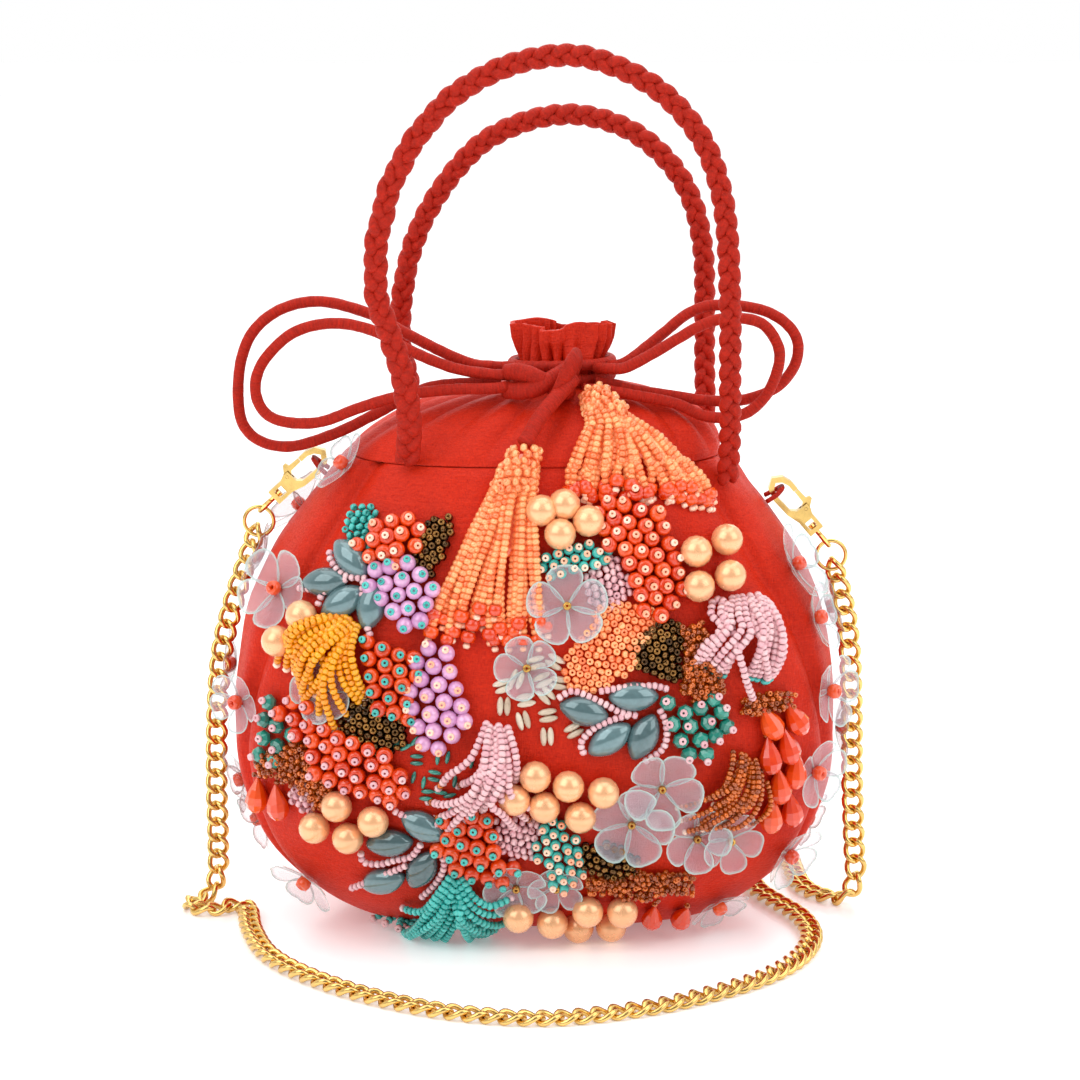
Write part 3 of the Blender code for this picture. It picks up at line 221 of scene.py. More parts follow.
# Chain: its route from ring to ring, and the size of its links
CHAIN_PITCH = 5.2 * MM
CHAIN_WIRE = 1.7 * MM
CHAIN_WIDTH = 7.0 * MM
CHAIN_END_TWIST = math.radians(45)
CHAIN_TURNING = 20.0 * MM
CHAIN_FLAT_BELOW = 6.0 * MM
LINK_BENDS = 22
LINK_TWIST = math.radians(45)
LINK_ROUNDNESS = 0.85
LINK_LAP = CHAIN_WIRE * 0.98
CHAIN_ROUTE = (
    (-83.29, 0, 117.97), (-86.5, 0, 108), (-90.5, 0, 96), (-94.5, 0, 80), (-96.3, 0, 62), (-97, 0, 39),
    (-97, 1, 20), (-97.5, 2, 9), (-100, 1, 3.0), (-104, -3, 1.8), (-103.5, -9, 1.8), (-98, -11, 1.8),
    (-92, -7.5, 1.8), (-87.5, -11, 1.8), (-84.5, -30, 1.8), (-78, -52, 1.8), (-66, -70, 1.8),
    (-48, -87, 1.8), (-24, -101, 1.8), (3, -106.3, 1.8), (29, -99, 1.8), (49, -87, 1.8), (66, -72, 1.8),
    (77, -55, 1.8), (82, -36, 1.8), (80, -18, 1.8), (74, -4, 1.8), (69, 8, 1.8), (67, 22, 1.8),
    (67, 35, 1.8), (73, 43, 1.8), (80.5, 38, 1.8), (81.5, 25, 1.8), (83, 12, 1.8), (88, 3, 1.8),
    (95, -1.5, 3), (98, -1, 9), (97.5, 0, 20), (96.6, 0, 40), (96, 0, 64), (94.8, 0, 83), (92.4, 0, 97),
    (89.43, 0, 107.52),
)
RING_RADIUS = 4.4 * MM
RING_WIRE = 1.2 * MM
RING_PLACES = {"left": (-82.69, 119.83), "right": (88.90, 109.40)}
CLASP_PLACES = {"left": ((-78.01, 127.07), 47.0), "right": ((84.39, 116.93), -40.3)}
TAB_CROWN_Z = 16.9 * MM

# Places that the photograph shows, as its own pixels
PEARLS_SEEN = (
    (308, 616), (286, 642), (342, 801), (321, 822), (353, 832), (377, 816), (558, 536), (587, 523),
    (563, 507), (541, 513), (694, 553), (720, 543), (696, 587), (725, 577), (535, 773), (568, 782),
    (603, 788), (544, 802), (580, 812), (514, 795), (518, 906), (552, 911), (587, 901), (621, 901),
    (578, 920), (610, 920),
)
STONES_SEEN = (
    (353, 559, -40), (327, 583, 10), (344, 602, 35), (373, 606, 80), (391, 840, 8), (424, 824, -30),
    (385, 877, 20), (423, 866, 60), (584, 710, -15), (633, 696, 0), (609, 738, 35), (643, 736, 65),
)
STRANDS_SEEN = (
    ((560, 696), (572, 690), (588, 695), (605, 703), (618, 710), (634, 714)),
    ((601, 690), (618, 687), (635, 686), (652, 685), (664, 688)),
    ((583, 750), (581, 740), (593, 727), (609, 719), (626, 714)),
    ((659, 710), (664, 721), (665, 736), (660, 748), (645, 758)),
    ((335, 556), (335, 562), (342, 573), (352, 578), (367, 579)),
    ((307, 592), (320, 590), (335, 585), (348, 581)), ((322, 604), (326, 595), (333, 589)),
    ((366, 583), (365, 598), (366, 615), (372, 634)), ((398, 808), (413, 815), (432, 820), (449, 823)),
    ((364, 849), (367, 857), (382, 859), (398, 855), (413, 852), (422, 841)),
    ((356, 881), (373, 875), (390, 868), (407, 861)),
    ((438, 845), (445, 856), (443, 868), (434, 881), (424, 890)),
)

# Small tassels: bead, tip, end bead, how far the tuft stands off the cloth, and its strands
SMALL_TASSELS = {
    "yellow_tassel": ("yellow", None, "clear", 6.0, (
        ((339, 617), (314, 620), (295, 637), (283, 660)), ((348, 619), (320, 632), (306, 648), (299, 668)),
        ((356, 625), (331, 640), (314, 659), (305, 685)), ((358, 627), (339, 655), (325, 682), (309, 698)),
        ((356, 631), (339, 663), (333, 690), (337, 725)), ((356, 636), (346, 659), (350, 682), (361, 700)),
        ((360, 627), (358, 652), (363, 678), (366, 689)), ((331, 615), (308, 625), (298, 640), (293, 650)),
        ((345, 616), (325, 622), (305, 640), (308, 672)), ((352, 620), (338, 640), (322, 660), (318, 690)),
    )),
    "pink_tassel": ("pink", "amber", "pink", 6.5, (
        ((487, 723), (480, 740), (470, 757), (451, 771), (444, 780)),
        ((493, 732), (487, 748), (480, 767), (464, 781)),
        ((491, 740), (483, 763), (472, 784), (451, 796), (436, 800)),
        ((495, 742), (489, 769), (472, 795), (459, 812), (449, 826)),
        ((499, 725), (502, 746), (497, 772), (487, 795), (483, 807)),
        ((508, 727), (514, 746), (516, 763), (515, 777)),
        ((504, 742), (508, 767), (510, 786), (525, 799), (536, 805)),
        ((502, 746), (502, 772), (491, 793), (502, 805), (514, 824)),
        ((497, 750), (495, 774), (483, 790), (504, 793)), ((490, 726), (486, 752), (484, 776), (480, 792)),
        ((503, 730), (507, 752), (508, 772), (498, 788)),
    )),
    "turquoise_tassel": ("turquoise", None, "pink", 4.5, (
        ((453, 868), (440, 883), (426, 898), (409, 902)),
        ((453, 875), (432, 896), (413, 915), (398, 922), (379, 923)),
        ((457, 879), (440, 900), (419, 913), (407, 922), (400, 932)),
        ((455, 889), (440, 908), (424, 921), (407, 930)), ((462, 902), (449, 917), (432, 929), (418, 935)),
        ((464, 873), (474, 885), (489, 894), (506, 894)), ((457, 879), (466, 894), (483, 906), (502, 916)),
        ((453, 889), (464, 902), (478, 912)), ((459, 889), (472, 911), (495, 921)),
        ((457, 889), (470, 919), (480, 928)),
    )),
    "amber_tassel": ("amber", None, "clear", 5.0, (
        ((742, 753), (721, 780), (698, 795), (680, 804)), ((748, 761), (736, 790), (710, 814), (687, 828)),
        ((757, 769), (748, 795), (732, 820), (722, 824)), ((763, 780), (760, 801), (746, 821)),
        ((735, 760), (725, 785), (714, 801)), ((740, 765), (728, 795), (706, 812), (700, 820)),
        ((730, 750), (722, 768), (718, 788)), ((752, 758), (746, 784), (738, 806)),
        ((745, 765), (738, 792), (716, 818)), ((738, 752), (728, 774), (706, 796)),
    )),
    "pink_turquoise_tassel": ("pink", None, "turquoise", 6.5, (
        ((710, 603), (707, 616), (719, 630), (702, 643), (693, 662)),
        ((729, 599), (723, 614), (723, 626), (710, 647), (703, 661)),
        ((738, 598), (736, 618), (738, 635), (723, 656), (715, 670)),
        ((753, 597), (753, 618), (740, 637), (727, 656), (723, 670)),
        ((723, 614), (729, 652), (738, 681), (749, 700)), ((759, 601), (767, 622), (771, 639), (777, 654)),
        ((753, 599), (759, 626), (756, 651), (755, 674)), ((742, 601), (750, 626), (748, 647), (745, 672)),
        ((763, 605), (765, 637), (762, 676)), ((761, 603), (770, 647), (768, 674)),
        ((715, 600), (722, 606), (714, 630), (706, 652)),
    )),
}
IVORY_PAIRS_SEEN = (
    (517, 679, 70), (543, 680, 25), (555, 662, -28), (559, 683, -10), (526, 700, 10), (504, 706, 88),
    (546, 695, -45), (548, 715, 10), (523, 720, -75), (547, 736, -88), (574, 730, 27), (536, 663, 15),
    (503, 686, 20),
)
TEAL_RICE_SEEN = (
    (415, 741, 50), (427, 742, 50), (406, 747, 30), (417, 756, 0), (417, 763, 0), (438, 758, 85),
    (448, 757, 80), (414, 777, 75), (424, 782, 80), (435, 772, -10), (434, 779, -10), (455, 781, 80),
    (428, 791, 0), (426, 798, 0), (441, 792, -5), (472, 762, 80), (398, 744, 40), (450, 795, 15),
)
TEAL_LEFT_SEEN = (
    (274, 701), (269, 718), (282, 724), (297, 733), (269, 736), (283, 744), (265, 752), (280, 758),
)
TEAL_RIGHT_SEEN = (
    (666, 702), (683, 712), (698, 707), (711, 698), (671, 723), (688, 725), (706, 721), (719, 711),
    (679, 739), (698, 738), (713, 734), (724, 725), (687, 752), (704, 752),
)
DROPS_RIGHT_SEEN = (
    (765, 721, 25), (789, 717, 28), (782, 744, 12), (765, 753, 5), (789, 767, -5), (774, 782, 8),
    (766, 811, 0), (785, 805, 12),
)
DROPS_LEFT_SEEN = ((264, 791, -8), (284, 798, 3))
AMBER_DROPS_SEEN = ((651, 908, 0), (680, 908, -4))
FLOWERS_SEEN = (
    (567, 606, 8.6), (527, 668, 6.8), (631, 822, 9.0), (661, 787, 8.6), (695, 836, 7.4), (728, 838, 7.0),
    (516, 884, 7.0), (556, 884, 6.0), (326, 690, 7.0),
)

# Clusters: layout, bead, tip, space between beads and slant of the rows in the picture, and outline
CLUSTERS = {
    "turquoise_seed_cluster": ("rows", "turquoise", None, 7.4, -8, (
        (352, 506), (374, 504), (381, 520), (378, 535), (370, 548), (362, 553), (350, 545), (346, 530))),
    "coral_barrel_cluster": ("stems", "coral", "clear", 15.0, -14, (
        (380, 520), (402, 510), (414, 525), (425, 537), (420, 554), (402, 567), (358, 568), (356, 548),
        (370, 530))),
    "bronze_cluster_upper": ("rings", "bronze", None, 7.4, 20, (
        (425, 525), (448, 515), (455, 520), (450, 545), (440, 565), (430, 580), (416, 574), (414, 550))),
    "lilac_cluster_upper": ("stems", "lilac", "turquoise", 16.5, -12, (
        (362, 572), (405, 558), (418, 563), (438, 575), (436, 600), (430, 628), (403, 634), (388, 614),
        (370, 594))),
    "coral_cluster_left": ("stems", "coral", "turquoise", 16.0, 20, (
        (364, 640), (385, 632), (402, 643), (420, 658), (418, 690), (420, 724), (403, 728), (384, 712),
        (366, 690), (360, 660))),
    "lilac_cluster_middle": ("stems", "lilac", "clear", 17.5, 15, (
        (411, 650), (444, 640), (458, 665), (470, 690), (478, 722), (466, 742), (440, 760), (418, 742),
        (410, 700))),
    "bronze_cluster_left": ("rings", "bronze", None, 7.6, 25, (
        (344, 703), (372, 688), (392, 705), (412, 725), (402, 747), (385, 755), (355, 742), (340, 730))),
    "coral_cluster_lower": ("stems", "coral", "pink", 15.5, 22, (
        (292, 690), (318, 698), (328, 722), (352, 733), (385, 750), (410, 765), (412, 790), (402, 810),
        (375, 806), (345, 792), (318, 774), (303, 745), (283, 720), (279, 703))),
    "amber_cluster_left": ("tiny", "amber", None, 5.2, 20, (
        (280, 750), (300, 736), (312, 752), (328, 768), (334, 790), (322, 806), (306, 790), (285, 775),
        (262, 770), (260, 752))),
    "coral_cluster_bottom": ("stems", "coral", "turquoise", 15.5, 15, (
        (438, 806), (455, 801), (486, 804), (495, 820), (492, 843), (505, 850), (522, 862), (514, 882),
        (490, 882), (470, 876), (446, 864), (436, 845))),
    "pink_seed_cluster": ("rows", "pink", None, 7.4, 15, (
        (490, 820), (530, 816), (541, 825), (536, 857), (515, 860), (496, 850), (487, 838))),
    "turquoise_cluster_lower": ("tipped", "turquoise", "clear", 11.0, 20, (
        (545, 818), (562, 814), (577, 838), (584, 868), (577, 888), (555, 884), (540, 864), (531, 843))),
    "bronze_cluster_lower": ("rings", "bronze", None, 7.6, 15, (
        (580, 845), (610, 840), (640, 860), (638, 874), (600, 876), (581, 867))),
    "amber_row": ("tiny", "amber", None, 5.4, 0, (
        (587, 876), (640, 870), (690, 870), (692, 888), (640, 892), (588, 888))),
    "peach_crystal_cluster": ("rings", "peach", None, 7.8, 10, (
        (596, 606), (625, 600), (655, 610), (664, 620), (652, 637), (634, 662), (625, 677), (600, 690),
        (568, 690), (562, 655), (582, 638), (590, 620))),
    "bronze_cluster_right": ("rings", "bronze", None, 7.6, 20, (
        (655, 620), (672, 616), (684, 625), (682, 655), (678, 688), (655, 680), (632, 663), (626, 650),
        (645, 633))),
    "amber_cluster_right": ("tiny", "amber", None, 5.2, 20, (
        (680, 628), (700, 624), (708, 640), (716, 672), (722, 690), (700, 704), (680, 692), (684, 655))),
    "coral_cluster_right": ("stems", "coral", "clear", 16.0, 12, (
        (594, 505), (640, 490), (662, 508), (672, 530), (680, 562), (684, 592), (676, 613), (640, 616),
        (624, 588), (614, 560), (596, 540))),
    "turquoise_cluster_upper": ("tipped", "turquoise", "clear", 11.0, -15, (
        (541, 553), (575, 546), (590, 538), (609, 552), (602, 567), (565, 581), (543, 581))),
    "lilac_seed_cluster": ("rows", "pink", None, 7.6, 20, (
        (608, 555), (622, 562), (632, 598), (616, 614), (598, 616), (588, 602), (583, 580), (596, 566))),
}
LOOSE_PATCHES = {
    "small_pink_patch": ("rows", "pink", None, 7.0, 10, (
        (294, 784), (306, 778), (316, 790), (322, 806), (306, 812), (292, 798))),
    "amber_crest": ("tiny", "amber", None, 5.4, 0, (
        (738, 700), (760, 693), (786, 693), (790, 705), (760, 713), (742, 713))),
}

# Flowers on the gusset that the photograph shows, then those behind: side, y, z and radius
EDGE_FLOWERS_SEEN = (
    (297, 502, 10.5), (280, 589, 10.5), (348, 468, 8.5), (242, 700, 8), (256, 819, 9), (309, 876, 9.5),
    (791, 567, 10.5), (812, 619, 9), (826, 690, 9.5), (812, 770, 9), (785, 851, 9.5), (716, 900, 8),
)
SIDE_FLOWERS = (
    (-1, 2, 108, 9), (-1, 6, 74, 9), (-1, 1, 40, 9), (1, 4, 92, 9), (1, 2, 56, 9), (1, 8, 26, 8),
)
PETALS = 5
PAINTED_RIM_START = 0.86

# Sizes of what is sewn on
SEEN_STEP = 3.0
STONE_LENGTH = 15.0 * MM
STONE_LIFT = 1.2 * MM
TEAL_BEAD = 5.1 * MM
TEAL_TIP = 2.4 * MM
TEAL_LIFT = 2.5 * MM
TEAL_LEAN_REACH = 60
TIPPED_BEAD = 3.3 * MM
IVORY_RICE = 5.6 * MM
IVORY_SPREAD = 3.6
TEAL_RICE = 4.0 * MM
DROP_LIFT = 3.0 * MM
TAB_REACH = 5 * MM
TAB_SPREAD = (2.2 * MM, 4.2 * MM)
TAB_SIZE = (2.4 * MM, 1.4 * MM)
CAST_REACH = 0.3
NEAR_CAST_REACH = 0.2


def shade(red, green, blue):
    """A screen colour as the linear colour that Blender's nodes use."""
    def linear(value):
        part = value / 255
        return part / 12.92 if part <= 0.04045 else ((part + 0.055) / 1.055) ** 2.4

    return linear(red), linear(green), linear(blue)


# Beads: light and dark colour, roughness, metallic and coat of each kind of glass
GLASS = {
    "coral": (shade(246, 84, 12), shade(216, 46, 4), 0.16, 0.0, 0.8),
    "turquoise": (shade(78, 208, 198), shade(30, 164, 156), 0.22, 0.0, 0.7),
    "bronze": (shade(158, 112, 52), shade(30, 18, 12), 0.22, 0.85, 0.3),
    "lilac": (shade(232, 176, 216), shade(196, 130, 186), 0.16, 0.1, 1.0),
    "teal": (shade(40, 154, 134), shade(14, 100, 88), 0.14, 0.05, 1.0),
    "amber": (shade(222, 108, 10), shade(120, 44, 4), 0.12, 0.4, 1.0),
    "peach": (shade(254, 178, 116), shade(236, 98, 40), 0.06, 0.15, 1.0),
    "clear": (shade(255, 220, 196), shade(246, 158, 112), 0.06, 0.15, 1.0),
    "pink": (shade(248, 206, 208), shade(230, 168, 178), 0.3, 0.0, 0.5),
    "yellow": (shade(255, 178, 16), shade(246, 142, 0), 0.25, 0.0, 0.6),
    "ivory": (shade(232, 218, 196), shade(196, 172, 146), 0.3, 0.05, 0.6),
    "gold_bead": (shade(226, 176, 84), shade(150, 96, 32), 0.2, 0.9, 0.4),
}
# How strongly the clearer kinds glow: painted light, an emission in the bead's own colour that stands in for
# the light carried inside the glass
CRYSTAL_PAINTED_GLOW = {"peach": 0.16, "clear": 0.16, "amber": 0.05}

# Finishes: the sheen of the silk, the roughness of the gilt from clean to handled, and the petals' colours,
# whose rim colour is a painted edge reflection
SILK_SHEEN = {
    "Sheen Roughness": 0.35, "Sheen Tint": (*shade(255, 120, 80), 1.0), "Specular IOR Level": 0.18,
}
GILT_ROUGHNESS = (0.12, 0.24)
PETAL_PINK = shade(216, 186, 200)
PETAL_GREY = shade(198, 214, 218)
PAINTED_PETAL_RIM = shade(196, 230, 220)


class ClothSettings(bpy.types.PropertyGroup):
    """Colours and folds of the silk."""

    silk: FloatVectorProperty(
        name="Silk", description="Colour of the pouch's raw silk", subtype="COLOR", size=3, min=0, max=1,
        default=shade(218, 46, 14),
    )
    silk_shadow: FloatVectorProperty(
        name="Silk shadow", description="Colour of the silk's darker threads", subtype="COLOR", size=3,
        min=0, max=1, default=shade(178, 26, 8),
    )
    cord: FloatVectorProperty(
        name="Cord", description="Colour of the braids and the drawstring", subtype="COLOR", size=3,
        min=0, max=1, default=shade(192, 36, 16),
    )
    ripple: FloatProperty(
        name="Ripple", description="Depth of the soft waves in the stuffed panels", subtype="DISTANCE",
        unit="LENGTH", default=1.1 * MM, min=0, max=3 * MM,
    )
    gather: FloatProperty(
        name="Gather", description="Depth of the gathers at the neck", subtype="DISTANCE", unit="LENGTH",
        default=4.2 * MM, min=0, max=5 * MM,
    )


class BeadSettings(bpy.types.PropertyGroup):
    """Sizes of the beads."""

    seed: FloatProperty(
        name="Seed bead", description="Width of a seed bead", subtype="DISTANCE", unit="LENGTH",
        default=2.4 * MM, min=1 * MM, max=4 * MM,
    )
    large: FloatProperty(
        name="Large bead", description="Width of a large round bead", subtype="DISTANCE", unit="LENGTH",
        default=5.0 * MM, min=2 * MM, max=8 * MM,
    )
    pearl: FloatProperty(
        name="Pearl", description="Width of a pearl", subtype="DISTANCE", unit="LENGTH",
        default=9.4 * MM, min=5 * MM, max=12 * MM,
    )
    pearl_colour: FloatVectorProperty(
        name="Pearl colour", description="Colour of the pearls", subtype="COLOR", size=3, min=0, max=1,
        default=shade(246, 184, 134),
    )
    stone_colour: FloatVectorProperty(
        name="Stone colour", description="Colour of the leaf-shaped stones", subtype="COLOR", size=3,
        min=0, max=1, default=shade(108, 140, 144),
    )


class GiltSettings(bpy.types.PropertyGroup):
    """The chain's and the clasps' gilt metal."""

    gilt: FloatVectorProperty(
        name="Gilt", description="Colour of the polished metal", subtype="COLOR", size=3, min=0, max=1,
        default=shade(240, 200, 120),
    )
    link_sides: IntProperty(
        name="Link sides", description="Sides of a link's wire", default=8, min=6, max=16,
    )


class StageSettings(bpy.types.PropertyGroup):
    """Floor and lights."""

    floor: FloatVectorProperty(
        name="Floor", description="Colour of the floor", subtype="COLOR", size=3, min=0, max=1,
        default=shade(252, 252, 253),
    )
    light: FloatProperty(
        name="Light", description="Power of the main soft light", subtype="POWER", unit="POWER",
        default=8.0, min=0,
    )


def fill(tree, made, inputs):
    """Gives a node's sockets their values, each a number, a colour or the socket of another node."""
    for name, value in inputs.items():
        if isinstance(value, bpy.types.NodeSocket):
            tree.links.new(value, made.inputs[name])
        else:
            made.inputs[name].default_value = value


def node(tree, kind, settings=None, inputs=None):
    """Adds a node: settings are its own values, inputs are numbers or sockets for its sockets."""
    made = tree.nodes.new(kind)
    for name, value in (settings or {}).items():
        setattr(made, name, value)
    fill(tree, made, inputs or {})
    return made


def group(name, inputs, outputs):
    """A new node group with its named sockets, and its input and output nodes."""
    tree = bpy.data.node_groups.new(name, "ShaderNodeTree")
    for label, kind, default in inputs:
        socket = tree.interface.new_socket(label, in_out="INPUT", socket_type=kind)
        if default is not None:
            socket.default_value = default
    for label, kind in outputs:
        tree.interface.new_socket(label, in_out="OUTPUT", socket_type=kind)
    return tree, node(tree, "NodeGroupInput"), node(tree, "NodeGroupOutput")


def stretched_noise(tree, vector, scale, detail=2.0):
    """Noise that is drawn out by a different amount along each direction."""
    mapped = node(tree, "ShaderNodeMapping", inputs={"Vector": vector, "Scale": scale})
    made = node(
        tree, "ShaderNodeTexNoise",
        inputs={"Vector": mapped.outputs[0], "Scale": 1.0, "Detail": detail, "Roughness": 0.55},
    )
    return made.outputs[0]


def maths(tree, operation, first, second=0.0):
    return node(tree, "ShaderNodeMath", {"operation": operation}, {0: first, 1: second}).outputs[0]


def weighted_sum(tree, *parts):
    """Values times their weights, added up."""
    total = None
    for value, weight in parts:
        part = maths(tree, "MULTIPLY", value, weight)
        total = part if total is None else maths(tree, "ADD", total, part)
    return total


def ranged(tree, value, low, high, start=0.0, end=1.0):
    """A value that runs from start to end, spread over low to high."""
    return node(
        tree, "ShaderNodeMapRange",
        inputs={"Value": value, "From Min": start, "From Max": end, "To Min": low, "To Max": high},
    ).outputs[0]


def coordinates(tree, kind="Object"):
    return node(tree, "ShaderNodeTexCoord").outputs[kind]


def tone_of_mesh(tree):
    """The tone that each point of the beadwork holds."""
    return node(tree, "ShaderNodeAttribute", {"attribute_name": "tone"}).outputs["Fac"]


@cache
def slub_weave():
    """Raw silk: uneven level threads over fine upright ones."""
    tree, given, result = group(
        "slub_weave",
        (("Vector", "NodeSocketVector", None), ("Thread", "NodeSocketFloat", 1.0)),
        (("Height", "NodeSocketFloat"), ("Shade", "NodeSocketFloat")),
    )
    place = node(
        tree, "ShaderNodeVectorMath", {"operation": "SCALE"},
        {0: given.outputs["Vector"], "Scale": given.outputs["Thread"]},
    ).outputs[0]
    slubs = stretched_noise(tree, place, (110, 110, 900), 2.0)
    weft = stretched_noise(tree, place, (700, 700, 2600), 1.0)
    warp = stretched_noise(tree, place, (2600, 2600, 500), 1.0)
    height = weighted_sum(tree, (slubs, 0.45), (weft, 0.9), (warp, 0.9))
    fill(tree, result, {"Height": height, "Shade": ranged(tree, height, 0.0, 1.0, 0.5, 1.5)})
    return tree


@cache
def cord_thread():
    """Cloth that is sewn into a cord: fine threads on the slant and small creases across it; its Shade is
    partly thread tone and partly painted shade, darker in the creases.
    """
    tree, given, result = group(
        "cord_thread",
        (("UV", "NodeSocketVector", None),),
        (("Height", "NodeSocketFloat"), ("Shade", "NodeSocketFloat")),
    )
    creases = stretched_noise(tree, given.outputs["UV"], (3, 16, 1), 2.0)
    turned = node(
        tree, "ShaderNodeMapping",
        inputs={"Vector": given.outputs["UV"], "Rotation": (0, 0, math.radians(40)), "Scale": (60, 12, 1)},
    ).outputs[0]
    threads = node(
        tree, "ShaderNodeTexNoise", inputs={"Vector": turned, "Scale": 1.0, "Detail": 1.0},
    ).outputs[0]
    height = weighted_sum(tree, (creases, 1.2), (threads, 0.6))
    fill(tree, result, {"Height": height, "Shade": ranged(tree, height, 0.0, 1.0, 0.6, 1.15)})
    return tree


@cache
def glass_tone():
    """A bead's own shade between light and dark, with faint clouds in the glass."""
    tree, given, result = group(
        "glass_tone",
        (("Light", "NodeSocketColor", (1, 1, 1, 1)), ("Dark", "NodeSocketColor", (0, 0, 0, 1))),
        (("Color", "NodeSocketColor"), ("Cloud", "NodeSocketFloat")),
    )
    cloud = stretched_noise(tree, coordinates(tree), (700, 700, 700), 2.0)
    lighter = maths(tree, "SUBTRACT", tone_of_mesh(tree), 0.25)
    blend = maths(tree, "ADD", maths(tree, "MULTIPLY", cloud, 0.5), lighter)
    mixed = node(
        tree, "ShaderNodeMix", {"data_type": "RGBA", "clamp_factor": True},
        {0: blend, 6: given.outputs["Dark"], 7: given.outputs["Light"]},
    ).outputs[2]
    fill(tree, result, {"Color": mixed, "Cloud": cloud})
    return tree


@cache
def handling():
    """Soft patches where fingers have dulled a polished surface."""
    tree, given, result = group(
        "handling",
        (("Scale", "NodeSocketFloat", 200.0), ("Low", "NodeSocketFloat", 0.1),
         ("High", "NodeSocketFloat", 0.3)),
        (("Roughness", "NodeSocketFloat"),),
    )
    patches = node(
        tree, "ShaderNodeTexNoise",
        inputs={"Vector": coordinates(tree), "Scale": given.outputs["Scale"], "Detail": 3.0},
    ).outputs[0]
    dull = ranged(tree, patches, given.outputs["Low"], given.outputs["High"], 0.3, 0.7)
    fill(tree, result, {"Roughness": dull})
    return tree


def use(tree, shared, inputs):
    """Places a shared node group in a material."""
    return node(tree, "ShaderNodeGroup", {"node_tree": shared}, inputs)


def dulled(tree, scale, low, high):
    """The roughness of a polished surface that has been handled."""
    return use(tree, handling(), {"Scale": scale, "Low": low, "High": high}).outputs[0]


def new_material(name):
    """An empty material with its surface shader."""
    made = bpy.data.materials.new(name)
    made.use_nodes = True
    tree = made.node_tree
    return made, tree, tree.nodes["Principled BSDF"]


def rgba(colour):
    return (*colour, 1.0)


def colour_mix(tree, share, first, second):
    return node(
        tree, "ShaderNodeMix", {"data_type": "RGBA"}, {0: share, 6: first, 7: second},
    ).outputs[2]


def bump(tree, height, distance):
    return node(
        tree, "ShaderNodeBump", inputs={"Height": height, "Distance": distance, "Strength": 1.0},
    ).outputs[0]


@cache
def silk_material():
    """Red raw silk with slubs and a soft sheen."""
    cloth = bpy.context.scene.bag_cloth
    made, tree, surface = new_material("red_raw_silk")
    weave = use(tree, slub_weave(), {"Vector": coordinates(tree), "Thread": 1.0})
    fill(tree, surface, {
        "Base Color": colour_mix(tree, weave.outputs["Shade"], rgba(cloth.silk_shadow), rgba(cloth.silk)),
        "Roughness": ranged(tree, weave.outputs["Shade"], 0.62, 0.42),
        "Normal": bump(tree, weave.outputs["Height"], 0.00022),
        "Sheen Weight": 0.05, **SILK_SHEEN,
    })
    return made


@cache
def cord_material():
    """The same silk, sewn into cords, darker where the threads and creases lie low: partly thread tone,
    partly painted shade in the creases.
    """
    cord = bpy.context.scene.bag_cloth.cord
    made, tree, surface = new_material("sewn_silk_cord")
    thread = use(tree, cord_thread(), {"UV": coordinates(tree, "UV")})
    # A darker cord colour for the low places of the threads and creases: partly thread tone, partly painted
    # shade in the creases.
    dark = tuple(value * 0.6 for value in cord)
    fill(tree, surface, {
        "Base Color": colour_mix(tree, thread.outputs["Shade"], rgba(dark), rgba(cord)),
        "Roughness": 0.55,
        "Normal": bump(tree, thread.outputs["Height"], 0.0003),
        "Sheen Weight": 0.1, **SILK_SHEEN,
    })
    return made


@cache
def gilt_material():
    """Bright gilt metal, a little dulled by handling."""
    gilt = bpy.context.scene.bag_gilt.gilt
    made, tree, surface = new_material("polished_gilt")
    dull = dulled(tree, 260.0, *GILT_ROUGHNESS)
    deep = tuple(value * 0.82 for value in gilt)
    share = ranged(tree, dull, 0.0, 1.0, *GILT_ROUGHNESS)
    fill(tree, surface, {
        "Base Color": colour_mix(tree, share, rgba(gilt), rgba(deep)), "Roughness": dull, "Metallic": 1.0,
    })
    return made


@cache
def glass_material(kind):
    """Bead glass of one colour, with each bead a little lighter or darker, and a painted glow in the clearer
    kinds.
    """
    light, dark, rough, metallic, coat = GLASS[kind]
    made, tree, surface = new_material(f"{kind}_glass")
    tone = use(tree, glass_tone(), {"Light": rgba(light), "Dark": rgba(dark)})
    fill(tree, surface, {
        "Base Color": tone.outputs["Color"],
        "Roughness": ranged(tree, tone.outputs["Cloud"], rough * 0.6, rough * 1.4),
        "Metallic": metallic, "Coat Weight": coat, "Coat Roughness": 0.05,
        # The clearer kinds glow in the bead's own colour: painted light standing in for light passing through
        # the glass.
        "Emission Color": tone.outputs["Color"], "Emission Strength": CRYSTAL_PAINTED_GLOW.get(kind, 0.0),
    })
    return made


@cache
def pearl_material():
    """Champagne pearl with a soft deep gloss."""
    pearl = bpy.context.scene.bag_beads.pearl_colour
    made, tree, surface = new_material("champagne_pearl")
    pale = tuple(min(1.0, value * 1.12) for value in pearl)
    tone = use(tree, glass_tone(), {"Light": rgba(pale), "Dark": rgba(pearl)})
    fill(tree, surface, {
        "Base Color": tone.outputs["Color"], "Roughness": dulled(tree, 300.0, 0.2, 0.3),
        "Metallic": 0.35, "Coat Weight": 0.5, "Coat Roughness": 0.1,
    })
    return made


@cache
def stone_material():
    """Grey-blue foiled glass."""
    stone = bpy.context.scene.bag_beads.stone_colour
    made, tree, surface = new_material("foiled_stone")
    deep = tuple(value * 0.35 for value in stone)
    tone = use(tree, glass_tone(), {"Light": rgba(stone), "Dark": rgba(deep)})
    fill(tree, surface, {
        "Base Color": tone.outputs["Color"], "Roughness": dulled(tree, 300.0, 0.05, 0.14),
        "Metallic": 0.3, "Coat Weight": 1.0, "Coat Roughness": 0.03,
    })
    return made


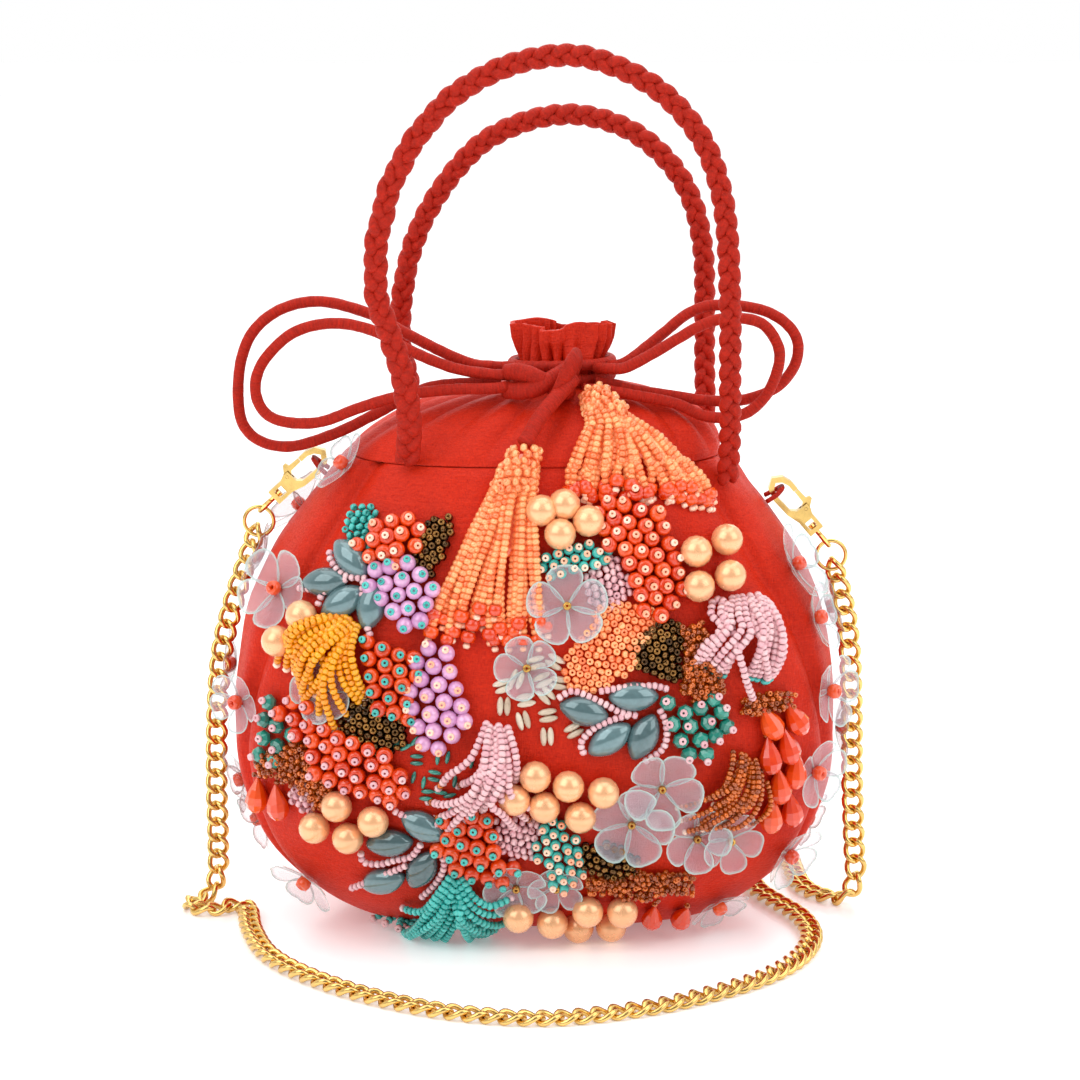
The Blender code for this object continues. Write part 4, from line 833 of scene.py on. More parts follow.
@cache
def petal_material():
    """Clear film with a faint pink cast, cloudier and greener round its edge: a painted edge reflection in
    colour and opacity.
    """
    made, tree, surface = new_material("clear_petal")
    rim = tone_of_mesh(tree)
    cloud = stretched_noise(tree, coordinates(tree), (130, 130, 130), 2.0)
    tint = colour_mix(tree, cloud, rgba(PETAL_PINK), rgba(PETAL_GREY))
    fill(tree, surface, {
        # The rim share paints the edge's reflection: a mint-white colour and more opacity round the edge.
        "Base Color": colour_mix(tree, rim, tint, rgba(PAINTED_PETAL_RIM)), "Alpha": ranged(tree, rim, 0.22, 0.78),
        "Roughness": dulled(tree, 220.0, 0.08, 0.22), "Coat Weight": 0.8, "Coat Roughness": 0.05,
    })
    return made


def floor_material():
    """A pale glossy table top."""
    floor = rgba(bpy.context.scene.bag_stage.floor)
    made, tree, surface = new_material("pale_table")
    fill(tree, surface, {
        "Base Color": floor, "Roughness": dulled(tree, 6.0, 0.22, 0.3),
        "Emission Color": floor, "Emission Strength": FLOOR_GLOW,
    })
    return made


def deselect():
    """Leaves object mode with nothing selected."""
    if bpy.context.object and bpy.context.object.mode != "OBJECT":
        bpy.ops.object.mode_set(mode="OBJECT")
    bpy.ops.object.select_all(action="DESELECT")


def outward_faces(mesh):
    """Turns every face of a closed mesh outwards."""
    builder = bmesh.new()
    builder.from_mesh(mesh)
    bmesh.ops.recalc_face_normals(builder, faces=builder.faces)
    builder.to_mesh(mesh)
    builder.free()


def linked(name, mesh, *finishes):
    """Puts a finished mesh in the scene as a piece that rides on a body."""
    for finish in finishes:
        mesh.materials.append(finish)
    made = bpy.data.objects.new(name, mesh)
    bpy.context.scene.collection.objects.link(made)
    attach(made, "bag")
    return made


def lofted(name, rings, finish, closed=False):
    """A smooth skin over rings of points, with a UV map in centimetres round and along it."""
    rings = np.asarray(rings, dtype=float)
    count, sides = rings.shape[:2]
    spans = count if closed else count - 1
    rows = np.arange(spans)[:, None]
    after = (rows + 1) % count
    column = np.arange(sides)[None, :]
    beside = (column + 1) % sides
    quads = np.stack(
        [rows * sides + column, rows * sides + beside, after * sides + beside, after * sides + column],
        axis=-1,
    ).reshape(-1, 4)
    faces = quads.tolist()
    middles = rings.mean(axis=1)
    steps = np.linalg.norm(np.diff(middles, axis=0, append=middles[:1]), axis=1)
    along = np.concatenate([[0.0], np.cumsum(steps)]) * 100
    girth = np.linalg.norm(rings[0] - np.roll(rings[0], 1, axis=0), axis=1).sum() * 100
    u = np.stack([column, column + 1, column + 1, column], axis=-1) / sides * max(girth, 0.2)
    u = np.broadcast_to(u, (spans, sides, 4))
    low, high = along[:spans], along[1:spans + 1]
    v = np.stack([low, low, high, high], axis=-1)[:, None, :]
    v = np.broadcast_to(v, (spans, sides, 4))
    uv = np.stack([u, v], axis=-1).reshape(-1, 2)
    if not closed:
        faces.append(list(range(sides))[::-1])
        faces.append([(count - 1) * sides + k for k in range(sides)])
        uv = np.concatenate([uv, np.zeros((sides * 2, 2))])
    mesh = bpy.data.meshes.new(name)
    mesh.from_pydata(rings.reshape(-1, 3).tolist(), [], faces)
    mesh.uv_layers.new(name="UVMap").data.foreach_set("uv", uv.ravel())
    outward_faces(mesh)
    mesh.polygons.foreach_set("use_smooth", [True] * len(mesh.polygons))
    return linked(name, mesh, finish)


def smooth_route(points, step, group_size=1):
    """Even points along a smooth curve through a route, in metres, in whole groups of steps."""
    known = [Vector(point) * MM for point in points]
    padded = [known[0] * 2 - known[1], *known, known[-1] * 2 - known[-2]]
    fine = []
    for a, b, c, d in zip(padded, padded[1:], padded[2:], padded[3:]):
        for i in range(12):
            t = i / 12
            bend = b * 2 + (c - a) * t + (a * 2 - b * 5 + c * 4 - d) * t**2
            fine.append((bend + (b * 3 - a - c * 3 + d) * t**3) / 2)
    fine.append(known[-1])
    return evenly(fine, step, group_size)


def evenly(fine, step, group_size=1):
    """Even points along a row of fine ones."""
    along = [0.0]
    for a, b in zip(fine, fine[1:]):
        along.append(along[-1] + (b - a).length)
    count = max(round(along[-1] / step / group_size) * group_size, 1) + 1
    spaced, at = [], 0
    for i in range(count):
        wanted = along[-1] * i / (count - 1)
        while at < len(along) - 2 and along[at + 1] < wanted:
            at += 1
        part = (wanted - along[at]) / max(along[at + 1] - along[at], 1e-9)
        spaced.append(fine[at].lerp(fine[at + 1], min(part, 1.0)))
    return spaced


def directions(points):
    """The direction of a row of points at each of them."""
    ends = [points[0] * 2 - points[1], *points, points[-1] * 2 - points[-2]]
    return [(after - before).normalized() for before, after in zip(ends, ends[2:])]


def length_of(points):
    return sum((b - a).length for a, b in zip(points, points[1:]))


def carried_frames(points, front=Vector((0, -1, 0))):
    """Side and front directions that are carried along a path without a twist."""
    made = []
    for direction in directions(points):
        front = (front - direction * front.dot(direction)).normalized()
        made.append((direction.cross(front).normalized(), front.copy()))
    return made


def tube_rings(points, frames, width, depth, sides, crease=0.0, seed=0.0, seam=0.0):
    """Rings round a path: an oval cloth cord with creases across it and a sewn seam along it."""
    rings = []
    for i, (point, (side, front)) in enumerate(zip(points, frames)):
        ring = []
        for k in range(sides):
            turn = math.tau * k / sides
            wave = noise.noise(Vector((math.cos(turn) * 1.3, math.sin(turn) * 1.3 + seed, i * 0.55)))
            fold = 1.0 + crease * wave
            if k == 0:
                fold -= seam
            ring.append(
                point + side * math.cos(turn) * width / 2 * fold + front * math.sin(turn) * depth / 2 * fold
            )
        rings.append(ring)
    return rings


def superellipse(a, b, squareness, turn):
    """A point of a rounded rectangle's outline."""
    c, s = math.cos(turn), math.sin(turn)
    power = 2 / squareness
    x = a * math.copysign(abs(c) ** power, c)
    y = b * math.copysign(abs(s) ** power, s)
    return x, y


def spread_turns(a, b, squareness, count):
    """Turns that space points evenly round a rounded rectangle, which bunch up otherwise."""
    fine = 4000
    turns = [math.tau * i / fine for i in range(fine + 1)]
    places = [Vector(superellipse(a, b, squareness, turn)) for turn in turns]
    along = np.concatenate([[0], np.cumsum([(q - p).length for p, q in zip(places, places[1:])])])
    wanted = np.arange(count) / count * along[-1]
    return np.interp(wanted, along, turns)


def between_levels(levels, z):
    """The sizes at a height, on a smooth curve through the levels."""
    heights = [level[0] for level in levels]
    z = min(max(z, heights[0]), heights[-1])
    at = max(i for i, height in enumerate(heights) if height <= z)
    at = min(at, len(levels) - 2)
    low, high = levels[at], levels[at + 1]
    before = levels[max(at - 1, 0)]
    after = levels[min(at + 2, len(levels) - 1)]
    span = high[0] - low[0]
    t = (z - low[0]) / span
    sizes = []
    for k in range(1, len(low)):
        into = (high[k] - before[k]) / max(high[0] - before[0], 1e-6) * span
        out = (after[k] - low[k]) / max(after[0] - low[0], 1e-6) * span
        value = (2 * t**3 - 3 * t**2 + 1) * low[k] + (t**3 - 2 * t**2 + t) * into
        sizes.append(value + (3 * t**2 - 2 * t**3) * high[k] + (t**3 - t**2) * out)
    return sizes


@cache
def cloth_tree():
    """The pouch and the yoke as one surface to lay things on."""
    builder = bmesh.new()
    for name in ("pouch_cloth", "yoke_cloth"):
        builder.from_mesh(bpy.data.objects[name].data)
    tree = BVHTree.FromBMesh(builder)
    builder.free()
    return tree


def cast(start, direction):
    """Where a line meets the cloth, and the direction out of the cloth there."""
    way = direction.normalized()
    point, normal, _, _ = cloth_tree().ray_cast(start, way)
    if point is None:
        passing = start - way * start.dot(way)
        point, normal, _, _ = cloth_tree().find_nearest(passing)
    return point, normal


def on_front(x, z, way=-1):
    """The place on the cloth in front of x, z in metres, or behind it where the way is +1."""
    return cast(Vector((x, way * CAST_REACH, z)), Vector((0, -way, 0)))


def on_side(side, y, z):
    """The place on the gusset of the left (-1) or the right (+1)."""
    return cast(Vector((side * CAST_REACH, y, z)), Vector((-side, 0, 0)))


def seen(px, py):
    """The place on the cloth, or on the table in front of it, that the photograph shows at a pixel."""
    focal = PHOTO_SIZE * CAMERA_LENS / SENSOR_WIDTH
    right = (px - PHOTO_SIZE / 2) / focal
    up = (PHOTO_SIZE / 2 - py) / focal
    tilt = CAMERA_ELEVATION
    ray = Vector((right, math.cos(tilt) + up * math.sin(tilt), up * math.cos(tilt) - math.sin(tilt)))
    point, normal = cast(CAMERA_PLACE, ray)
    reach = (TABLE_LIE - CAMERA_PLACE.z) / ray.z
    if reach * ray.length_squared < (point - CAMERA_PLACE).dot(ray):
        return CAMERA_PLACE + ray * reach, TABLE_FACING
    return point, normal


def cloth_directions(normal):
    """The directions along and up the cloth."""
    along = Vector((0, 0, 1)).cross(normal).normalized()
    return along, normal.cross(along).normalized()


def placed(point, axis, size=1.0, spin=0.0, stretch=1.0):
    """Where a modelled bead goes: its own Z along an axis, turned about it and scaled."""
    turn = axis.to_track_quat("Z", "Y").to_matrix().to_4x4()
    scale = Matrix.Diagonal((size, size, size * stretch, 1.0))
    return Matrix.Translation(point) @ turn @ Matrix.Rotation(spin, 4, "Z") @ scale


def modelled():
    """The points and faces of the bead that was just modelled, which then leaves the scene.

    Both are put in one fixed order, because a new ball's own order changes from run to run.
    """
    deselect()
    bead = bpy.context.object
    mesh = bead.data
    points = np.array([vertex.co for vertex in mesh.vertices])
    order = np.lexsort(points.round(5).T)
    rank = np.argsort(order)
    faces = []
    for face in mesh.polygons:
        corners = rank[list(face.vertices)].tolist()
        first = corners.index(min(corners)) if len(corners) > 4 else 0
        faces.append(corners[first:] + corners[:first])
    bpy.data.objects.remove(bead)
    bpy.data.meshes.remove(mesh)
    return points[order], sorted(faces, key=sorted)


def shape_in_edit_mode(*steps):
    """Runs editing steps on all of a new primitive."""
    bpy.ops.object.mode_set(mode="EDIT")
    bpy.ops.mesh.select_all(action="SELECT")
    for step in steps:
        step()
    bpy.ops.object.mode_set(mode="OBJECT")


def ring_bead(turns, sides, radius, wire, stretch):
    """A round bead, one unit wide, with its hole along Z."""
    deselect()
    bpy.ops.mesh.primitive_torus_add(
        major_segments=turns, minor_segments=sides, major_radius=radius, minor_radius=wire,
    )
    shape_in_edit_mode(lambda: bpy.ops.transform.resize(value=stretch))
    return modelled()


def new_ball(segments, rings):
    """The points of a new ball, one unit wide."""
    deselect()
    bpy.ops.mesh.primitive_uv_sphere_add(segments=segments, ring_count=rings, radius=0.5)
    return bpy.context.object.data.vertices


def seed_bead():
    return ring_bead(8, 5, 0.32, 0.2, (0.97, 0.97, 1.7))


def large_bead():
    return ring_bead(12, 7, 0.29, 0.21, (1, 1, 1.85))


def round_bead():
    new_ball(14, 9)
    return modelled()


def cut_bead():
    """A faceted ball."""
    new_ball(7, 6)
    shape_in_edit_mode(lambda: bpy.ops.mesh.dissolve_limited(angle_limit=math.radians(1)))
    return modelled()


def rice_bead():
    """A long oval bead, one unit long, along Z."""
    new_ball(9, 7)
    shape_in_edit_mode(lambda: bpy.ops.transform.resize(value=(0.36, 0.36, 1.0)))
    return modelled()


def drop_bead():
    """A faceted drop, one unit long, with its thin end up Z."""
    for vertex in new_ball(10, 8):
        rise = vertex.co.z + 0.5
        narrow = 0.66 * (1 - 0.72 * max(0.0, rise - 0.35) / 0.65)
        vertex.co.x *= narrow
        vertex.co.y *= narrow
    return modelled()


def leaf_stone():
    """A leaf-shaped domed stone, one unit long along X, with its flat back on Z = 0."""
    new_ball(24, 12)
    shape_in_edit_mode(
        lambda: bpy.ops.mesh.bisect(
            plane_co=(0, 0, 0), plane_no=(0, 0, 1), clear_inner=True, use_fill=True,
        ),
    )
    for vertex in bpy.context.object.data.vertices:
        taper = 1 - (2 * abs(vertex.co.x)) ** 2.2 * 0.35
        vertex.co.y *= 0.6 * taper
        vertex.co.z *= 0.55
    return modelled()


def petal():
    """A cupped clear petal, one unit long along X from its root, with a crease along its middle."""
    for vertex in new_ball(20, 14):
        x, y, z = vertex.co
        out = x + 0.5
        vertex.co.x = out
        vertex.co.y = y * petal_spread(out)
        vertex.co.z = z * 0.05 + 0.3 * out**2 + abs(y) * 0.3 * out
    return modelled()


def petal_spread(out):
    """How much wider a petal is than a ball, at a share of its length."""
    return 0.5 + 0.75 * out


# How each kind of bead is modelled, and whether it is smooth
BEAD_MAKERS = {
    "seed": (seed_bead, True), "round": (round_bead, True), "cut": (cut_bead, False),
    "rice": (rice_bead, True), "drop": (drop_bead, False), "stone": (leaf_stone, True),
    "petal": (petal, True), "large": (large_bead, True),
}


@cache
def bead_shape(kind):
    """The points and faces of a kind of bead, modelled once."""
    return BEAD_MAKERS[kind][0]()


class Beadwork:
    """Gathers copies of the modelled beads into one piece."""

    def __init__(self, name):
        self.name = name
        self.chance = random.Random(name)
        self.beads = []

    def add(self, kind, place, finish, tone=None):
        """One bead of a kind at a place, in a material."""
        if tone is None:
            tone = self.chance.uniform(0.15, 1.0)
        self.beads.append((kind, place, finish, tone))

    def piece(self):
        """The gathered beads as one mesh, each bead with its own tone."""
        finishes = sorted({bead[2].name for bead in self.beads})
        points, faces, tones, slots, smooth = [], [], [], [], []
        start = 0
        for kind, place, finish, tone in self.beads:
            shape, sides = bead_shape(kind)
            matrix = np.array(place)
            bead = shape @ matrix[:3, :3].T + matrix[:3, 3]
            bead[:, 2] += max(0.0, TABLE_GAP - bead[:, 2].min())
            points.append(bead)
            faces.extend([[corner + start for corner in face] for face in sides])
            # Petals hold their rim share instead of a tone, which paints a reflection round their edge.
            if kind == "petal":
                reach = np.hypot(shape[:, 0] - 0.5, shape[:, 1] / petal_spread(shape[:, 0])) * 2
                tones.append(np.clip((reach - PAINTED_RIM_START) / (1 - PAINTED_RIM_START), 0, 1))
            else:
                tones.append(np.full(len(shape), tone))
            slots.extend([finishes.index(finish.name)] * len(sides))
            smooth.extend([BEAD_MAKERS[kind][1]] * len(sides))
            start += len(shape)
        mesh = bpy.data.meshes.new(self.name)
        mesh.from_pydata(np.concatenate(points).tolist(), [], faces)
        mesh.attributes.new("tone", "FLOAT", "POINT").data.foreach_set("value", np.concatenate(tones))
        mesh.polygons.foreach_set("material_index", slots)
        mesh.polygons.foreach_set("use_smooth", smooth)
        return linked(self.name, mesh, *(bpy.data.materials[name] for name in finishes))


def strung(work, points, normals, kind, size, finish, pitch, wobble=0.0):
    """Strings beads along a path of points, with their holes along it."""
    path = evenly(points, pitch)
    if len(path) < 2:
        return
    for i, (point, direction) in enumerate(zip(path, directions(path))):
        away = normals[min(i * len(normals) // len(path), len(normals) - 1)]
        shift = away * work.chance.uniform(-wobble, wobble)
        spin = work.chance.uniform(0, math.tau)
        work.add(kind, placed(point + shift, direction, size, spin), finish)


def seen_path(pixels, lift, hump=0.0):
    """A smooth path over the cloth through pixels of the photograph, with its middle humped up."""
    route = smooth_route([(px / MM, py / MM, 0) for px, py in pixels], SEEN_STEP)
    points, normals = [], []
    for i, place in enumerate(route):
        point, normal = seen(place.x, place.y)
        part = i / (len(route) - 1)
        points.append(point + normal * (lift + hump * math.sin(math.pi * part) ** 0.8))
        normals.append(normal)
    return points, normals


def inside(outline, px, py):
    """Whether a pixel is inside an outline."""
    crossings = 0
    for (ax, ay), (bx, by) in zip(outline, outline[1:] + outline[:1]):
        if (ay > py) != (by > py) and px < ax + (py - ay) * (bx - ax) / (by - ay):
            crossings += 1
    return crossings % 2 == 1


def packed_pixels(outline, spacing, slant, chance, jitter=0.08):
    """Places in slanting rows inside an outline, each row shifted by half a bead."""
    xs, ys = zip(*outline)
    middle = (min(xs) + max(xs)) / 2, (min(ys) + max(ys)) / 2
    reach = int(max(max(xs) - min(xs), max(ys) - min(ys)) / spacing) + 1
    turn = math.radians(slant)
    places = []
    for j in range(-reach, reach + 1):
        for i in range(-reach, reach + 1):
            u, v = (i + 0.5 * (j % 2)) * spacing, j * spacing * 0.87
            px = middle[0] + u * math.cos(turn) - v * math.sin(turn)
            py = middle[1] + u * math.sin(turn) + v * math.cos(turn)
            if inside(outline, px, py):
                shift = spacing * jitter
                places.append((px + chance.uniform(-shift, shift), py + chance.uniform(-shift, shift)))
    return places


class BAG_OT_stage(bpy.types.Operator):
    """Make the floor, the lights and the camera"""

    bl_idname = "bag.stage"
    bl_label = "Stage"

    def execute(self, context):
        settings = context.scene.bag_stage
        deselect()
        bpy.ops.mesh.primitive_plane_add(size=TABLE_SIZE, location=TABLE_MIDDLE)
        floor = context.object
        floor.name = "table_top"
        shape_in_edit_mode(lambda: bpy.ops.mesh.subdivide(number_cuts=4))
        bpy.ops.object.transform_apply(location=True, rotation=True, scale=True)
        floor.data.materials.append(floor_material())
        for name, place, size, share in LAMPS:
            lamp = bpy.data.lights.new(name, "AREA")
            lamp.size = size
            lamp.energy = settings.light * share
            made = bpy.data.objects.new(name, lamp)
            context.scene.collection.objects.link(made)
            made.location = place
            made.rotation_euler = (LAMP_TARGET - Vector(place)).to_track_quat("-Z", "Y").to_euler()
        world = bpy.data.worlds.new("pale_room")
        context.scene.world = world
        world.use_nodes = True
        back = world.node_tree.nodes["Background"]
        way = coordinates(world.node_tree, "Generated")
        depth = node(world.node_tree, "ShaderNodeSeparateXYZ", inputs={0: way}).outputs["Y"]
        strength = ranged(world.node_tree, depth, ROOM_FRONT, 1.0, *ROOM_DEPTHS)
        fill(world.node_tree, back, {"Color": (1, 1, 1, 1), "Strength": strength})
        context.scene.view_settings.view_transform = "Standard"
        camera = bpy.data.cameras.new("photo_camera")
        camera.lens = CAMERA_LENS
        camera.sensor_width = SENSOR_WIDTH
        made = bpy.data.objects.new("photo_camera", camera)
        context.scene.collection.objects.link(made)
        made.location = CAMERA_PLACE
        made.rotation_euler = (math.radians(90) - CAMERA_ELEVATION, 0, 0)
        context.scene.camera = made
        return {"FINISHED"}


def nearest_turn(along, side, front, wanted):
    """The turn about the chain that brings its flat face to a wanted direction, either way up."""
    flat = wanted - along * wanted.dot(along)
    turn = math.atan2(-flat.dot(side), flat.dot(front))
    return (turn + math.pi / 2) % math.pi - math.pi / 2


def chain_frames(points, spacing):
    """Side and front directions along the chain: flat on the floor, and facing front where it hangs."""
    along = directions(points)
    carried = carried_frames(points)
    known = {}
    last = len(points) - 1
    for i, (point, direction) in enumerate(zip(points, along)):
        if point.z < CHAIN_FLAT_BELOW:
            known[i] = nearest_turn(direction, *carried[i], Vector((0, 0, 1)))
        elif CHAIN_TURNING < i * spacing < last * spacing - CHAIN_TURNING and abs(direction.z) > 0.97:
            known[i] = nearest_turn(direction, *carried[i], Vector((0, 1, 0)))
    known[0] = nearest_turn(along[0], *carried[0], Vector((0, 1, 0))) - CHAIN_END_TWIST
    known[last] = nearest_turn(along[last], *carried[last], Vector((0, 1, 0))) + CHAIN_END_TWIST
    places = sorted(known)
    for low, high in zip(places, places[1:]):
        known[high] += round((known[low] - known[high]) / math.pi) * math.pi
    turns = np.interp(range(len(points)), places, [known[place] for place in places])
    frames = []
    for turn, (side, face) in zip(turns, carried):
        frames.append((
            side * math.cos(turn) + face * math.sin(turn), face * math.cos(turn) - side * math.sin(turn)
        ))
    return along, frames


def link_rings(middle, along, side, front, sides):
    """The wire of one curb link: an oval with its two ends twisted a quarter turn apart."""
    half_length = (CHAIN_PITCH + LINK_LAP) / 2
    half_width = (CHAIN_WIDTH - CHAIN_WIRE) / 2
    path = []
    for i in range(LINK_BENDS):
        turn = math.tau * i / LINK_BENDS
        forward = math.copysign(abs(math.cos(turn)) ** LINK_ROUNDNESS, math.cos(turn))
        twist = LINK_TWIST * forward
        sideways = side * math.cos(twist) + front * math.sin(twist)
        path.append(middle + along * forward * half_length + sideways * math.sin(turn) * half_width)
    rings = []
    flat = side.cross(along).normalized()
    for before, point, after in zip(path[-1:] + path[:-1], path, path[1:] + path[:1]):
        direction = (after - before).normalized()
        out = (point - middle).normalized()
        out = (out - direction * out.dot(direction)).normalized()
        flat = direction.cross(out)
        rings.append([
            point + (out * math.cos(k) + flat * math.sin(k)) * CHAIN_WIRE / 2
            for k in (math.tau * j / sides for j in range(sides))
        ])
    return rings


class BAG_OT_chain(bpy.types.Operator):
    """Make the curb chain and the two rings at its ends"""

    bl_idname = "bag.chain"
    bl_label = "Chain and rings"

    def execute(self, context):
        spacing = CHAIN_PITCH / 2
        sides = context.scene.bag_gilt.link_sides
        points = smooth_route(CHAIN_ROUTE, spacing, 2)
        along, frames = chain_frames(points, spacing)
        verts, faces = [], []
        for i in range(1, len(points), 2):
            rings = link_rings(points[i], along[i], *frames[i], sides)
            start = len(verts)
            count = len(rings)
            verts.extend(point for ring in rings for point in ring)
            for j in range(count):
                for k in range(sides):
                    n, m = (j + 1) % count, (k + 1) % sides
                    faces.append([start + j * sides + k, start + j * sides + m,
                                  start + n * sides + m, start + n * sides + k])
        mesh = bpy.data.meshes.new("curb_chain")
        mesh.from_pydata(verts, [], faces)
        outward_faces(mesh)
        mesh.polygons.foreach_set("use_smooth", [True] * len(mesh.polygons))
        made = linked("curb_chain", mesh, gilt_material())
        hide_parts("chain_strap")
        for label, (x, z) in RING_PLACES.items():
            ring = wire_ring(f"round_ring_{label}", Vector((x * MM, 0, z * MM)))
            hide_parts(f"chain_ring_{label}")
        return {"FINISHED"}


def wire_ring(name, centre):
    """A ring of round wire that faces front."""
    deselect()
    bpy.ops.mesh.primitive_torus_add(
        major_segments=36, minor_segments=12, major_radius=RING_RADIUS, minor_radius=RING_WIRE / 2,
        location=centre, rotation=Vector((0, 1, 0)).to_track_quat("Z", "Y").to_euler(),
    )
    made = bpy.context.object
    made.name = name
    bpy.ops.object.transform_apply(location=True, rotation=True, scale=True)
    made.data.polygons.foreach_set("use_smooth", [True] * len(made.data.polygons))
    made.data.materials.append(gilt_material())
    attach(made, "bag")
    return made


class BAG_OT_bow(bpy.types.Operator):
    """Make the four loops of the bow"""

    bl_idname = "bag.bow"
    bl_label = "Bow loops"

    def execute(self, context):
        for number, (label, route) in enumerate(BOW_ROUTES.items()):
            points = smooth_route(route, STRING_STEP)
            rings = tube_rings(
                points, carried_frames(points), STRING_DIAMETER, STRING_DIAMETER * 0.94, 14,
                crease=STRING_CREASE, seed=number * 7.0, seam=0.07,
            )
            made = lofted(f"bow_string_{label}", rings, cord_material())
            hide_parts(f"bow_loop_{label}")
        return {"FINISHED"}


def panel_seam(y, z, b):
    """How much the cloth sinks at the seams between the panels and the gusset."""
    rise = min(max((z - PANEL_SEAM_BEND) / PANEL_SEAM_BEND, 0.0), 1.0)
    share = PANEL_SEAM_LOW + (PANEL_SEAM_HIGH - PANEL_SEAM_LOW) * rise
    away = (abs(abs(y) - b * share)) * MM
    beside = math.exp(-(((away - 3 * PANEL_SEAM_WIDTH) / (2 * PANEL_SEAM_WIDTH)) ** 2))
    return math.exp(-((away / PANEL_SEAM_WIDTH) ** 2)) - PANEL_SEAM_PUFF * beside


def flat_rings(level, shares, turns):
    """Level rings that close the pouch at one of its levels, each a share of its size."""
    z, a, b = level
    return [
        [
            (x * MM, y * MM, z * MM)
            for x, y in (superellipse(a * share, b * share, POUCH_SQUARENESS, turn) for turn in turns)
        ]
        for share in shares
    ]


class BAG_OT_pouch(bpy.types.Operator):
    """Make the stuffed silk pouch"""

    bl_idname = "bag.pouch"
    bl_label = "Pouch"

    def execute(self, context):
        ripple = context.scene.bag_cloth.ripple
        turns = spread_turns(90, 52, POUCH_SQUARENESS, POUCH_SIDES)
        top = SEAM_Z / MM
        heights = [top * (1 - math.cos(math.pi * i / POUCH_RINGS)) / 2 for i in range(POUCH_RINGS + 1)]
        rings = flat_rings(POUCH_LEVELS[0], POUCH_BASE_SHARES, turns)
        for z in heights:
            a, b = between_levels(POUCH_LEVELS, z)
            ring = []
            for turn in turns:
                x, y = superellipse(a, b, POUCH_SQUARENESS, turn)
                out = Vector((x / a**2, y / b**2, 0)).normalized()
                place = Vector((x, y, z)) * 0.022
                upper = max(0.0, (z - 85) / 57)
                soft = noise.noise(place + Vector((3, 7, 1))) * 0.8 + noise.noise(place * 2.6) * 0.35
                gathers = noise.noise(Vector((x * 0.11, y * 0.11, z * 0.012 + 5))) * upper**1.5 * 1.3
                sink = ripple * (soft + gathers) - panel_seam(y, z, b) * PANEL_SEAM_SINK
                sink -= math.exp(-(((top - z) / 1.6) ** 2)) * 0.9 * MM
                sink *= min(1.0, z / 8)
                ring.append((x * MM + out.x * sink, y * MM + out.y * sink, z * MM))
            rings.append(ring)
        rings.extend(flat_rings(POUCH_LEVELS[-1], POUCH_TOP_SHARES, turns))
        made = lofted("pouch_cloth", rings, silk_material())
        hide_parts("pouch_body")
        return {"FINISHED"}


def brim_share(height):
    """How far up the ruffle a height is: 0 at its start and 1 at its brim."""
    return max(0.0, (height - RUFFLE_START) / (YOKE_LEVELS[-1][0] - RUFFLE_START))


def gather_fold(turn):
    """How far a place round the neck is folded in: 0 on a ridge and 1 in the crease beside it."""
    uneven = turn + 0.11 * math.sin(3 * turn + 1.0) + 0.06 * math.sin(5 * turn + 2.0)
    return 1 - abs(math.sin(uneven * GATHERS / 2))


class BAG_OT_yoke(bpy.types.Operator):
    """Make the gathered cloth over the seam, the neck and the ruffle"""

    bl_idname = "bag.yoke"
    bl_label = "Gathered yoke"

    def execute(self, context):
        gather = context.scene.bag_cloth.gather
        rings = []
        top = YOKE_LEVELS[-1][0]
        neck = YOKE_LEVELS[NECK_LEVEL][0]
        for i in range(YOKE_RINGS + 1):
            height = top * i / YOKE_RINGS
            share = min(1.0, height / neck)
            square = POUCH_SQUARENESS + (NECK_SQUARENESS - POUCH_SQUARENESS) * share
            sizes = between_levels(YOKE_LEVELS, height)
            rings.append(self.ring(sizes, height, square, share, brim_share(height), gather, 0.0))
        for drop in RUFFLE_INNER_DROPS:
            height = top - drop
            sizes = between_levels(YOKE_LEVELS, height)
            rings.append(self.ring(sizes, height, NECK_SQUARENESS, 1.0, brim_share(height), gather, 1.0))
        rings.append(self.ring(
            RUFFLE_FLOOR, top - RUFFLE_DEPTH, NECK_SQUARENESS, RUFFLE_FLOOR_GATHERS, 0.0, gather, 1.0,
        ))
        made = lofted("yoke_cloth", rings, silk_material())
        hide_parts("gathered_yoke")
        return {"FINISHED"}

    def ring(self, sizes, height, square, share, brim, gather, inner):
        """One ring of the yoke, with its gathers and the ruffle's waves."""
        a, b, lean = sizes
        flare = min(1.0, brim * 1.6)
        ring = []
        for k, turn in enumerate(spread_turns(a, b, square, YOKE_SIDES)):
            x, y = superellipse(a, b, square, turn)
            round_turn = math.tau * k / YOKE_SIDES
            out = Vector((x, y)).normalized()
            fold = gather_fold(round_turn)
            fine = noise.noise(Vector((math.cos(round_turn) * 6, math.sin(round_turn) * 6, height * 0.05)))
            sink = -gather * fold * share**0.8 + fine * 0.5 * MM * share
            pleat = math.tanh(3 * math.sin(round_turn * PLEATS + 0.9 + 0.5 * math.sin(round_turn)))
            sink *= 1 - 0.75 * flare
            sink += pleat * RUFFLE_PLEAT * flare - inner * CLOTH_THICKNESS
            lift = (math.sin(round_turn * 2 + 2.6) * 1.0 - 0.5 * pleat) * brim * (1 - 0.2 * inner)
            z = SEAM_Z + (height + lift) * MM + 0.3 * MM * (1 - share)
            if height < 3:
                sink -= math.exp(-((height / 1.4) ** 2)) * 0.7 * MM
            ring.append(((x + lean) * MM + out.x * sink, y * MM + out.y * sink, z))
        return ring


